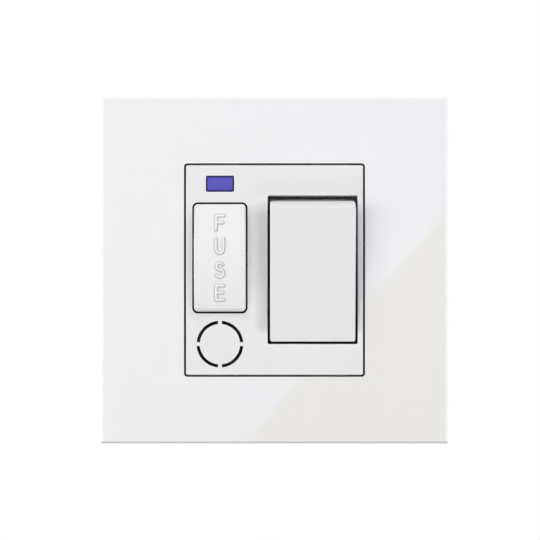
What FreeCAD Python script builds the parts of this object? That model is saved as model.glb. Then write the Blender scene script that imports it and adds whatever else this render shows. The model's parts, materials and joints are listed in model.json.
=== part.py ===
import FreeCAD, Part
import math
import os
import Sketcher
from FreeCAD import Placement, Rotation, Vector

# Fused spur unit: a switched and fused connection unit for a single square wall box.
# Frame: origin at the middle of the plate on the wall plane, X to the right, Y into the wall, Z up.

SIZES = {
    # Glass fascia and the plastic frame that carries it
    "border_side": 23.0,
    "border_top": 18.6,
    "plate_front": 8.0,
    "glass_thick": 3.0,
    "glass_bevel": 0.45,
    "window_bevel": 0.15,
    "window_gap": 0.46,
    "window_corner": 0.85,
    "frame_inset": 0.8,
    "frame_rim": 2.2,
    "frame_panel": 1.2,
    "clip_gap": 0.1,
    "clip_arm": 1.1,
    # Steel grid
    "grid_side_gap": 2.0,
    "grid_end_gap": 6.0,
    "grid_thick": 1.5,
    "grid_rim": 1.0,
    "grid_rim_rise": 1.9,
    "grid_gap": 0.2,
    "grid_corner": 3.0,
    "snap_inset": 4.0,
    "snap_up": 20.0,
    "snap_wide": 3.0,
    "snap_high": 6.0,
    "snap_rise": 2.1,
    # Fixing screws, which come to the standard 60.3 mm centres
    "fixing_out": 6.15,
    "fixing_radius": 1.75,
    "fixing_neck": 1.4,
    "fixing_head": 3.25,
    "fixing_head_high": 2.1,
    "fixing_head_round": 1.05,
    "fixing_reach": 22.0,
    "fixing_slot_wide": 7.0,
    "fixing_slot_high": 4.0,
    "fixing_slot_corner": 1.99,
    "fixing_thread_start": 0.3,
    # Module: front cover
    "left_margin": 1.7,
    "well_spacing": 5.44,
    "rocker_cheek": 1.46,
    "lens_from_top": 5.0,
    "lens_to_well": 5.01,
    "well_to_outlet": 8.3,
    "outlet_from_bottom": 8.32,
    "module_corner": 0.45,
    "cover_thick": 2.0,
    "cover_wall": 1.6,
    "cover_back": 1.2,
    "well_wall": 1.5,
    "wall_trim": 0.1,
    "edge_break": 0.2,
    # Ears, front and rear, that clamp the grid between them
    "ear_across": 15.0,
    "ear_wide": 10.0,
    "ear_long": 5.6,
    "assembly_out": 2.9,
    "front_ear_thick": 2.0,
    "rear_ear_thick": 3.0,
    "assembly_radius": 1.4,
    "assembly_bite": 1.6,
    "assembly_head": 2.6,
    "assembly_head_high": 1.8,
    "screw_gap": 0.06,
    # Rocker
    "pole_to_cheek": 6.7,
    "rocker_well_margin": 8.35,
    "rocker_well_corner": 0.4,
    "rocker_side_gap": 0.65,
    "rocker_end_gap": 0.78,
    "rocker_draft": 0.87,
    "rocker_face_ahead": 8.66,
    "rocker_draft_ahead": 3.9,
    "rocker_skirt_behind": 1.84,
    "rocker_wall": 1.5,
    "rocker_edge": 0.3,
    "rocker_corner": 0.6,
    "rocker_tilt": 7.5,
    "pivot_ahead": 1.9,
    "pin_radius": 1.5,
    "pin_gap": 0.05,
    "pin_into_cheek": 1.2,
    # Floor of the rocker well, with a window for the plungers
    "floor_clear": 1.5,
    "floor_thick": 1.0,
    "floor_window_past_pole": 4.0,
    "floor_window_half": 5.5,
    # Plungers and springs inside the rocker
    "pole_half": 5.5,
    "plunger_radius": 2.0,
    "plunger_round": 1.9,
    "plunger_clear": 0.2,
    "plunger_back": 0.0,
    "plunger_gap": 0.08,
    "socket_wall": 0.95,
    "socket_floor": 6.0,
    "socket_mouth": 6.0,
    "spring_radius": 1.45,
    "spring_wire": 0.22,
    "spring_turns": 5.0,
    "seat_gap": 0.1,
    # Moving contacts
    "hinge_rise": 2.55,
    "contact_wide": 5.0,
    "contact_thick": 1.0,
    "contact_half": 8.5,
    "contact_pin": 0.5,
    "contact_pin_gap": 0.06,
    "cheek_thick": 0.6,
    "cheek_gap": 0.2,
    "cheek_half": 1.6,
    "cheek_past_hinge": 1.15,
    "tip_up": 7.5,
    "tip_radius": 0.9,
    "tip_thick": 0.35,
    "fixed_tip_radius": 1.3,
    "fixed_tip_high": 0.5,
    # Fuse carrier
    "carrier_well_wide": 15.0,
    "carrier_past_fuse": 4.77,
    "carrier_well_corner": 1.5,
    "head_side_gap": 0.5,
    "head_end_gap": 0.525,
    "carrier_head_corner": 1.1,
    "carrier_head_edge": 0.8,
    "carrier_end_proud": 0.65,
    "carrier_crown": 1.85,
    "ledge_depth": 2.2,
    "ledge_thick": 1.5,
    "ledge_lap": 1.0,
    "carrier_gap": 0.2,
    "carrier_wall": 1.2,
    "carrier_end_wall": 0.9,
    "carrier_deck_gap": 1.8,
    "carrier_end_short": 4.2,
    "key_rise": 0.7,
    "key_left_high": 9.8,
    "key_right_high": 2.3,
    "key_gap": 0.3,
    "key_start": -4.1,
    "key_end": 0.9,
    "cradle_spread": 4.6,
    "cradle_thick": 1.4,
    "cradle_past_fuse": 1.4,
    # Cartridge fuse, 25.4 by 6.35 mm
    "fuse_seat": 0.225,
    "fuse_long": 25.4,
    "fuse_radius": 3.175,
    "fuse_tube_radius": 2.95,
    "fuse_cap_long": 5.6,
    "fuse_cap_wall": 0.35,
    "fuse_gap": 0.05,
    # Fuse clips
    "clip_half": 3.3,
    "clip_thick": 0.6,
    "clip_long": 5.0,
    "clip_from_end": 0.35,
    "clip_reach": 3.7,
    "clip_flare": 0.6,
    "clip_straight_reach": 2.4,
    # Straps on the deck
    "deck_front": 16.8,
    "deck_thick": 1.6,
    "strap_thick": 0.8,
    "strap_wide": 5.0,
    "strap_gap": 0.15,
    "clip_strap_wide": 7.8,
    "line_bar_wide": 4.4,
    # Rear housing
    "housing_past_screws": 0.35,
    "housing_gap": 0.1,
    "recess_wall": 2.4,
    "fuse_well_gap": 0.4,
    "inner_wall": 1.2,
    # Flexible cord outlet
    "outlet_aside": 0.02,
    "outlet_slot_outer": 6.36,
    "outlet_slot_wide": 0.92,
    "outlet_web": 1.0,
    "duct_lip": 0.14,
    "duct_wall": 1.0,
    "cord_hole": 4.4,
    # Terminals
    "terminal_wide": 7.4,
    "terminal_high": 8.5,
    "terminal_deep": 8.0,
    "terminal_end_wall": 0.85,
    "terminal_gap": 0.15,
    "wire_radius": 2.1,
    "wire_depth": 3.8,
    "wire_entry": 5.4,
    "terminal_screw": 1.7,
    "terminal_screw_gap": 0.05,
    "terminal_screw_clear": 0.2,
    "terminal_head": 2.3,
    "terminal_head_high": 1.4,
    "screw_slot": 0.7,
    "screw_slot_deep": 0.6,
    "earth_spacing": 1.14,
    "earth_wide": 12.5,
    "earth_pitch": 6.0,
    "earth_strap_wide": 6.0,
    "earth_clear": 0.2,
    "rivet_radius": 0.95,
    "rivet_head": 1.7,
    "rivet_head_high": 0.6,
    # Neon indicator
    "lens_aside": 0.02,
    "lens_wide": 7.05,
    "lens_high": 3.6,
    "lens_corner": 0.35,
    "lens_sunk": 0.1,
    "lens_gap_wide": 0.335,
    "lens_gap_high": 0.425,
    "lens_hole_corner": 0.5,
    "lens_flange": 1.2,
    "lens_flange_thick": 1.0,
    "lens_bevel": 0.25,
    "lamp_radius": 2.0,
    "lamp_half": 4.5,
    "lamp_round": 1.2,
    "lamp_behind_lens": 2.4,
    "lead_radius": 0.3,
    "board_side_gap": 2.0,
    "board_top_gap": 0.1,
    "board_high": 5.0,
    "board_behind_cover": 0.8,
    "board_thick": 1.6,
    "board_post": 2.0,
    "board_post_out": 0.67,
    "resistor_radius": 1.2,
    "resistor_half": 3.2,
    "resistor_aside": 13.3,
    "leaf_thick": 0.4,
    "leaf_wide": 2.4,
    "leaf_foot": 2.6,
    # Cord clamp on the rear face
    "clamp_aside": 1.3,
    "clamp_above_outlet": 10.16,
    "clamp_half": 8.6,
    "clamp_high": 5.0,
    "clamp_thick": 2.4,
    "clamp_screw_across": 6.3,
    "clamp_post": 2.2,
    "clamp_rise": 3.6,
    "clamp_head_high": 1.44,
    "clamp_arch": 3.9,
    "clamp_arch_top": 2.34,
    "clamp_arch_rise": 1.5,
}

doc = FreeCAD.newDocument("fused_spur_unit")
sheet = doc.addObject("Spreadsheet::Sheet", "Sizes")
for row, (alias, number) in enumerate(SIZES.items(), 1):
    sheet.set(f"A{row}", alias)
    sheet.set(f"B{row}", str(number))
    sheet.setAlias(f"B{row}", alias)
doc.recompute()


class Size:
    """A length together with the formula that ties it to the sheet."""

    def __init__(self, number, formula):
        self.number = float(number)
        self.formula = formula

    def joined(self, other, sign, number):
        return Size(number, f"({self.formula} {sign} {as_size(other).formula})")

    def __add__(self, other):
        return self.joined(other, "+", self.number + as_size(other).number)

    def __sub__(self, other):
        return self.joined(other, "-", self.number - as_size(other).number)

    def __mul__(self, other):
        return self.joined(other, "*", self.number * as_size(other).number)

    def __truediv__(self, other):
        return self.joined(other, "/", self.number / as_size(other).number)

    def __neg__(self):
        return Size(-self.number, f"(-1 * {self.formula})")

    def __radd__(self, other):
        return as_size(other) + self

    def __rsub__(self, other):
        return as_size(other) - self

    def __rmul__(self, other):
        return as_size(other) * self


class SizeSheet:
    """Reads a named cell of the sheet as a Size."""

    def __getattr__(self, alias):
        return Size(sheet.get(alias), f"Sizes.{alias}")


def as_size(value):
    if isinstance(value, Size):
        return value
    return Size(value, f"({float(value)})")


def bind(thing, path, value):
    """Ties one property, or one sketch dimension, to the sheet."""
    thing.setExpression(path, as_size(value).formula)


s = SizeSheet()
origin = as_size(0)
pieces = []
carved = []


def new_piece(label):
    """A body of its own for one piece; its label names its file."""
    body = doc.addObject("PartDesign::Body", label)
    body.Label = label
    pieces.append(body)
    return body


def sketch_on(body, role, level):
    """An empty sketch parallel to one of the body's own planes, level away along its normal."""
    sketch = body.newObject("Sketcher::SketchObject", "Sketch")
    plane = next(f for f in body.Origin.OriginFeatures if f.Role == role)
    sketch.AttachmentSupport = [(plane, "")]
    sketch.MapMode = "FlatFace"
    bind(sketch, "AttachmentOffset.Base.z", level)
    return sketch


def pin_down(sketch, kind, where, value):
    """One dimension from the sketch's origin, or a radius, tied to the sheet."""
    number = as_size(value).number
    if kind == "Radius":
        index = sketch.addConstraint(Sketcher.Constraint(kind, where[0], number))
    else:
        index = sketch.addConstraint(Sketcher.Constraint(kind, -1, 1, where[0], where[1], number))
    bind(sketch, f"Constraints[{index}]", value)


def outline(*corners):
    """A closed outline through corners (across, up); a third value is the radius of an arc to the next."""
    def draw(sketch):
        first = sketch.GeometryCount
        spots = [Vector(as_size(c[0]).number, as_size(c[1]).number, 0) for c in corners]
        for i, corner in enumerate(corners):
            start = spots[i]
            end = spots[(i + 1) % len(spots)]
            if len(corner) == 2:
                sketch.addGeometry(Part.LineSegment(start, end), False)
                continue
            radius = as_size(corner[2]).number
            middle = (start + end) * 0.5
            half = (end - start).Length / 2
            away = Vector(end.y - start.y, start.x - end.x, 0).normalize()
            sagitta = radius - math.sqrt(radius * radius - half * half)
            sketch.addGeometry(Part.Arc(start, middle + away * sagitta, end), False)
        joints = []
        for i in range(len(corners)):
            following = (i + 1) % len(corners)
            joints.append(Sketcher.Constraint("Coincident", first + i, 2, first + following, 1))
        sketch.addConstraint(joints)
        for i, corner in enumerate(corners):
            pin_down(sketch, "DistanceX", (first + i, 1), corner[0])
            pin_down(sketch, "DistanceY", (first + i, 1), corner[1])
            if len(corner) == 3:
                pin_down(sketch, "Radius", (first + i,), corner[2])
    return draw


def disc(across, up, radius):
    """A circle."""
    def draw(sketch):
        index = sketch.GeometryCount
        middle = Vector(as_size(across).number, as_size(up).number, 0)
        circle = Part.Circle(middle, Vector(0, 0, 1), as_size(radius).number)
        sketch.addGeometry(circle, False)
        pin_down(sketch, "DistanceX", (index, 3), across)
        pin_down(sketch, "DistanceY", (index, 3), up)
        pin_down(sketch, "Radius", (index,), radius)
    return draw


def block(left, right, low, high, corner=None):
    """A rectangle between four sides, its corners rounded where a radius is given."""
    if corner is None:
        return outline((left, low), (right, low), (right, high), (left, high))
    return outline(
        (left + corner, low),
        (right - corner, low, corner),
        (right, low + corner),
        (right, high - corner, corner),
        (right - corner, high),
        (left + corner, high, corner),
        (left, high - corner),
        (left, low + corner, corner),
    )


def centred(across, up, wide, high, corner=None):
    """A rectangle about its middle."""
    return block(across - wide / 2, across + wide / 2, up - high / 2, up + high / 2, corner)


def add(body, role, shapes, start, end):
    """Pads outlines between two levels along a plane's normal."""
    sketch = sketch_on(body, role, start)
    for draw in shapes:
        draw(sketch)
    pad = body.newObject("PartDesign::Pad", "Pad")
    pad.Profile = sketch
    bind(pad, "Length", end - start)
    return pad


def cut(body, role, shapes, start, end):
    """Pockets outlines between two levels along a plane's normal."""
    sketch = sketch_on(body, role, end)
    for draw in shapes:
        draw(sketch)
    pocket = body.newObject("PartDesign::Pocket", "Pocket")
    pocket.Profile = sketch
    bind(pocket, "Length", end - start)
    carved.append(pocket)
    return pocket


def front_add(body, shapes, front, back):
    """Pads outlines seen from the front, between two depths along Y."""
    return add(body, "XZ_Plane", shapes, -as_size(back), -as_size(front))


def front_cut(body, shapes, front, back):
    """Cuts outlines seen from the front, between two depths along Y."""
    return cut(body, "XZ_Plane", shapes, -as_size(back), -as_size(front))


def side_add(body, shapes, left, right):
    """Pads outlines drawn on Y and Z, between two places along X."""
    return add(body, "YZ_Plane", shapes, as_size(left), as_size(right))


def side_cut(body, shapes, left, right):
    """Cuts outlines drawn on Y and Z, between two places along X."""
    return cut(body, "YZ_Plane", shapes, as_size(left), as_size(right))


def up_add(body, shapes, low, high):
    """Pads outlines drawn on X and Y, between two heights along Z."""
    return add(body, "XY_Plane", shapes, as_size(low), as_size(high))


def up_cut(body, shapes, low, high):
    """Cuts outlines drawn on X and Y, between two heights along Z."""
    return cut(body, "XY_Plane", shapes, as_size(low), as_size(high))


def edges_at(feature, depth, inside=None):
    """Names of the edges that lie at one depth along Y, within limits of X and Z where given."""
    doc.recompute()
    names = []
    for i, edge in enumerate(feature.Shape.Edges, 1):
        box = edge.BoundBox
        if abs(box.YMin - depth) > 1e-4 or abs(box.YMax - depth) > 1e-4:
            continue
        if inside:
            left, right, low, high = [as_size(value).number for value in inside]
            if box.XMin < left - 1e-4 or box.XMax > right + 1e-4:
                continue
            if box.ZMin < low - 1e-4 or box.ZMax > high + 1e-4:
                continue
        names.append(f"Edge{i}")
    return names


def ease(body, kind, base, names, size):
    """A Chamfer or a Fillet on the named edges of the body's last feature."""
    feature = body.newObject(f"PartDesign::{kind}", kind)
    feature.Base = (base, names)
    bind(feature, "Size" if kind == "Chamfer" else "Radius", size)
    return feature


def slot(across, up, radius):
    """A driver's slot across a screw head."""
    return centred(across, up, 2 * radius + 2 * s.seat_gap, s.screw_slot)


def both_signs(action):
    """The four shapes of one that repeats left and right, above and below."""
    return [action(x, z) for x in (-1, 1) for z in (-1, 1)]


# The module's width and height come from what stands in its face, and the plate's from the module.
# What is worked out from the sheet is kept beside the sheet's own cells.
s.carrier_well_high = s.fuse_long + s.carrier_past_fuse
s.rocker_well_wide = 2 * s.pole_half + 2 * s.pole_to_cheek
s.module_wide = (s.left_margin + s.carrier_well_wide + s.well_spacing + s.rocker_well_wide
                 + s.rocker_cheek)
s.module_high = (s.lens_from_top + s.lens_to_well + s.carrier_well_high + s.well_to_outlet
                 + s.outlet_from_bottom)
s.rocker_well_high = s.module_high - 2 * s.rocker_well_margin
half_wide = s.module_wide / 2
half_high = s.module_high / 2
s.carrier_across = s.left_margin + s.carrier_well_wide / 2 - half_wide
s.rocker_across = half_wide - s.rocker_cheek - s.rocker_well_wide / 2
s.lens_across = s.carrier_across + s.lens_aside
s.lens_up = half_high - s.lens_from_top
s.carrier_up = s.lens_up - s.lens_to_well - s.carrier_well_high / 2
s.outlet_across = s.carrier_across + s.outlet_aside
s.outlet_up = s.outlet_from_bottom - half_high
s.plate_wide = s.module_wide + 2 * s.border_side
s.plate_high = s.module_high + 2 * s.border_top

# Depths along Y: the front's are negative, and the wall plane is at 0
front = -s.plate_front
glass_back = front + s.glass_thick
grid_front = -s.grid_thick
cover_inside = front + s.cover_thick
housing_front = s.cover_back + s.housing_gap
deck_back = s.deck_front + s.deck_thick
strap_front = s.deck_front - s.strap_thick
terminal_back = s.deck_front + s.terminal_deep
wire_axis = s.deck_front + s.wire_depth
housing_back = terminal_back + s.terminal_screw_gap + s.terminal_head_high + s.housing_past_screws
s.board_front = s.cover_back + s.board_behind_cover
s.lamp_depth = cover_inside + s.lens_flange_thick + s.lamp_behind_lens
s.fuse_depth = strap_front - s.fuse_seat - s.fuse_radius
s.hinge_depth = strap_front - s.hinge_rise
s.clamp_front = deck_back + s.clamp_rise

# Fascia, grid and fixings
frame_wide = s.plate_wide - 2 * s.frame_inset
frame_high = s.plate_high - 2 * s.frame_inset
s.grid_wide = frame_wide - 2 * s.frame_rim - 2 * s.grid_side_gap
s.grid_high = frame_high - 2 * s.frame_rim - 2 * s.grid_end_gap
s.snap_across = s.grid_wide / 2 - s.snap_inset
half_fixing = half_wide + s.fixing_out
s.ear_top = half_high + s.ear_long
s.assembly_up = half_high + s.assembly_out
s.earth_foot_end = s.ear_top

# Wells in the cover, and what moves in them
inner_half_wide = half_wide - s.cover_wall
inner_half_high = half_high - s.cover_wall
rocker_left = s.rocker_across - s.rocker_well_wide / 2
rocker_right = s.rocker_across + s.rocker_well_wide / 2
s.rocker_wide = s.rocker_well_wide - 2 * s.rocker_side_gap
s.rocker_skirt_half = s.rocker_well_high / 2 - s.rocker_end_gap
s.rocker_face_half = s.rocker_skirt_half - s.rocker_draft
s.pin_reach = s.rocker_well_wide / 2 + s.pin_into_cheek
s.floor_front = s.socket_mouth - s.pivot_ahead + s.floor_clear
floor_back = s.floor_front + s.floor_thick
s.plunger_reach = s.hinge_depth + s.pivot_ahead - s.contact_thick / 2 - s.plunger_clear
s.cheek_top = s.hinge_depth - s.cheek_past_hinge
line_across = s.rocker_across - s.pole_half
neutral_across = s.rocker_across + s.pole_half
ledge_front = front + s.ledge_depth
ledge_back = ledge_front + s.ledge_thick
ledge_wide = s.carrier_well_wide - 2 * s.ledge_lap
ledge_high = s.carrier_well_high - 2 * s.ledge_lap
s.carrier_head_wide = s.carrier_well_wide - 2 * s.head_side_gap
s.carrier_head_high = s.carrier_well_high - 2 * s.head_end_gap
carrier_wide = ledge_wide - 2 * s.carrier_gap
carrier_high = ledge_high - 2 * s.carrier_gap
carrier_left = s.carrier_across - carrier_wide / 2
carrier_right = s.carrier_across + carrier_wide / 2
s.carrier_back = s.deck_front - s.carrier_deck_gap
s.carrier_end_back = s.fuse_depth - s.carrier_end_short
s.cradle_back = s.fuse_depth + s.cradle_past_fuse
s.clip_tip = s.fuse_depth - s.clip_reach
s.clip_straight = s.fuse_depth - s.clip_straight_reach
fuse_top = s.carrier_up + s.fuse_long / 2
fuse_bottom = s.carrier_up - s.fuse_long / 2

# Rear of the module
s.outlet_slot_inner = s.outlet_slot_outer - s.outlet_slot_wide
s.duct_radius = s.outlet_slot_outer + s.duct_lip
terminal_outer = half_high - s.terminal_end_wall
terminal_inner = terminal_outer - s.terminal_high
screw_level = terminal_outer - s.terminal_high / 2
s.rear_recess_half = terminal_inner - s.terminal_gap - s.recess_wall
s.terminal_screw_tip = s.wire_depth + s.wire_radius + s.terminal_screw_clear
s.earth_across = neutral_across - s.terminal_wide / 2 - s.earth_spacing - s.earth_wide / 2
s.board_half = inner_half_wide - s.board_side_gap
s.board_low = inner_half_high - s.board_top_gap - s.board_high
s.resistor_across = s.carrier_across + s.resistor_aside
s.clamp_across = s.carrier_across + s.clamp_aside
s.clamp_up = s.outlet_up + s.clamp_above_outlet


# Glass plate

def glass_plate():
    """Back-painted glass square with a bevelled edge and the module's window."""
    body = new_piece("glass_plate")
    window_wide = s.module_wide + 2 * s.window_gap
    window_high = s.module_high + 2 * s.window_gap
    pad = front_add(body, [
        centred(origin, origin, s.plate_wide, s.plate_high),
        centred(origin, origin, window_wide, window_high, s.window_corner),
    ], front, glass_back)
    sides = [n for n in edges_at(pad, front.number)
             if pad.Shape.Edges[int(n[4:]) - 1].Length > window_high.number + 1]
    bevel = ease(body, "Chamfer", pad, sides, s.glass_bevel)
    rim = edges_at(bevel, front.number, (-window_wide / 2, window_wide / 2,
                                         -window_high / 2, window_high / 2))
    ease(body, "Chamfer", bevel, rim, s.window_bevel)


# Fascia frame

def fascia_frame():
    """Moulded frame bonded behind the glass, with arms that clip over the grid's snap posts."""
    body = new_piece("fascia_frame")
    inner_wide = frame_wide - 2 * s.frame_rim
    inner_high = frame_high - 2 * s.frame_rim
    window_wide = s.module_wide + 2 * s.window_gap
    window_high = s.module_high + 2 * s.window_gap
    front_add(body, [
        centred(origin, origin, frame_wide, frame_high, s.frame_rim),
        centred(origin, origin, inner_wide, inner_high, s.frame_rim / 2),
    ], glass_back, origin)
    panel_back = glass_back + s.frame_panel
    front_add(body, [
        centred(origin, origin, inner_wide + s.frame_rim, inner_high + s.frame_rim, s.frame_rim),
        centred(origin, origin, window_wide, window_high, s.window_corner),
    ], glass_back, panel_back)
    arms = []
    reach = s.snap_wide / 2 + s.clip_gap + s.clip_arm / 2
    for x in (-1, 1):
        for z in (-1, 1):
            for side in (-1, 1):
                arms.append(centred(x * s.snap_across + side * reach, z * s.snap_up,
                                    s.clip_arm, s.snap_high))
    front_add(body, arms, panel_back, grid_front - s.seat_gap)


# Mounting grid

def mounting_grid():
    """Pressed steel grid: folded rim, module window, slots on the box centres and four snap posts."""
    body = new_piece("mounting_grid")
    window_wide = s.module_wide + 2 * s.grid_gap
    window_high = s.module_high + 2 * s.grid_gap
    holes = [centred(x * half_fixing, origin, s.fixing_slot_wide, s.fixing_slot_high,
                     s.fixing_slot_corner) for x in (-1, 1)]
    holes += both_signs(lambda x, z: disc(x * s.ear_across, z * s.assembly_up,
                                          s.assembly_radius + 2 * s.screw_gap))
    holes.append(disc(s.earth_across, -(half_high + s.earth_foot_end) / 2,
                      s.rivet_radius + s.screw_gap))
    holes.append(centred(origin, origin, window_wide, window_high, s.module_corner))
    front_add(body, [centred(origin, origin, s.grid_wide, s.grid_high, s.grid_corner)] + holes,
              grid_front, origin)
    rim_corner = s.grid_corner - s.grid_rim
    front_add(body, [
        centred(origin, origin, s.grid_wide, s.grid_high, s.grid_corner),
        centred(origin, origin, s.grid_wide - 2 * s.grid_rim, s.grid_high - 2 * s.grid_rim, rim_corner),
    ], grid_front - s.grid_rim_rise, grid_front)
    front_add(body, both_signs(lambda x, z: centred(x * s.snap_across, z * s.snap_up,
                                                    s.snap_wide, s.snap_high)),
              grid_front - s.snap_rise, grid_front)


def fixing_screws():
    """Two pan head screws that hold the grid to the wall box; the threaded length stays plain."""
    for name, x in (("fixing_screw_left", -1), ("fixing_screw_right", 1)):
        body = new_piece(name)
        across = x * half_fixing
        head_front = grid_front - s.fixing_head_high
        head = front_add(body, [disc(across, origin, s.fixing_head)], head_front, grid_front)
        ease(body, "Fillet", head, edges_at(head, head_front.number), s.fixing_head_round)
        front_add(body, [disc(across, origin, s.fixing_neck)], grid_front, s.fixing_thread_start)
        front_add(body, [disc(across, origin, s.fixing_radius)],
                  s.fixing_thread_start, s.fixing_reach)
        front_cut(body, [slot(across, origin, s.fixing_head)],
                  head_front, head_front + s.screw_slot_deep)


# Module cover

def lens_hole(grow):
    """The lens opening, grown by a lip on each side."""
    wide = s.lens_wide + 2 * s.lens_gap_wide + 2 * grow
    high = s.lens_high + 2 * s.lens_gap_high + 2 * grow
    return wide, high


def outlet_slots():
    """Four arched slots round the knock-out, with a web left at the top, the bottom and each side."""
    shapes = []
    half_web = s.outlet_web / 2
    outer_far = Size(math.sqrt(s.outlet_slot_outer.number ** 2 - half_web.number ** 2),
                     f"sqrt({s.outlet_slot_outer.formula}^2 - {half_web.formula}^2)")
    inner_far = Size(math.sqrt(s.outlet_slot_inner.number ** 2 - half_web.number ** 2),
                     f"sqrt({s.outlet_slot_inner.formula}^2 - {half_web.formula}^2)")
    for x in (-1, 1):
        for z in (-1, 1):
            def spot(a, b):
                return (s.outlet_across + x * a, s.outlet_up + z * b)
            outer_start = spot(outer_far, half_web)
            outer_end = spot(half_web, outer_far)
            inner_start = spot(half_web, inner_far)
            inner_end = spot(inner_far, half_web)
            turn = 1 if x * z > 0 else -1
            shapes.append(slot_quarter(outer_start, outer_end, inner_start, inner_end, turn))
    return shapes


def slot_quarter(outer_start, outer_end, inner_start, inner_end, turn):
    """One quarter of the ring slot, between two arcs about the outlet's middle."""
    def draw(sketch):
        first = sketch.GeometryCount
        middle = Vector(s.outlet_across.number, s.outlet_up.number, 0)
        spots = [Vector(p[0].number, p[1].number, 0)
                 for p in (outer_start, outer_end, inner_start, inner_end)]

        def bow(start, end, radius):
            between = ((start + end) * 0.5 - middle).normalize()
            return Part.Arc(start, middle + between * radius, end)
        sketch.addGeometry([
            bow(spots[0], spots[1], s.outlet_slot_outer.number),
            Part.LineSegment(spots[1], spots[2]),
            bow(spots[2], spots[3], s.outlet_slot_inner.number),
            Part.LineSegment(spots[3], spots[0]),
        ], False)
        # An arc keeps its ends in counter-clockwise order, so the ends swap where the slot turns back
        outer_ends = (1, 2) if turn > 0 else (2, 1)
        inner_ends = (2, 1) if turn > 0 else (1, 2)
        sketch.addConstraint([
            Sketcher.Constraint("Coincident", first, outer_ends[1], first + 1, 1),
            Sketcher.Constraint("Coincident", first + 1, 2, first + 2, inner_ends[0]),
            Sketcher.Constraint("Coincident", first + 2, inner_ends[1], first + 3, 1),
            Sketcher.Constraint("Coincident", first + 3, 2, first, outer_ends[0]),
        ])
        marks = ((first, outer_ends[0], outer_start), (first + 1, 1, outer_end),
                 (first + 1, 2, inner_start), (first + 3, 1, inner_end))
        for line, end, spot in marks:
            pin_down(sketch, "DistanceX", (line, end), spot[0])
            pin_down(sketch, "DistanceY", (line, end), spot[1])
        pin_down(sketch, "Radius", (first,), s.outlet_slot_outer)
        pin_down(sketch, "Radius", (first + 2,), s.outlet_slot_inner)
    return draw


def ears(body, inner, thick_front, thick_back):
    """Four ears that reach over the grid above and below the module."""
    shapes = []
    for x in (-1, 1):
        left = x * s.ear_across - s.ear_wide / 2
        right = x * s.ear_across + s.ear_wide / 2
        shapes.append(block(left, right, inner, s.ear_top))
        shapes.append(block(left, right, -s.ear_top, -inner))
    front_add(body, shapes, thick_front, thick_back)


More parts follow.
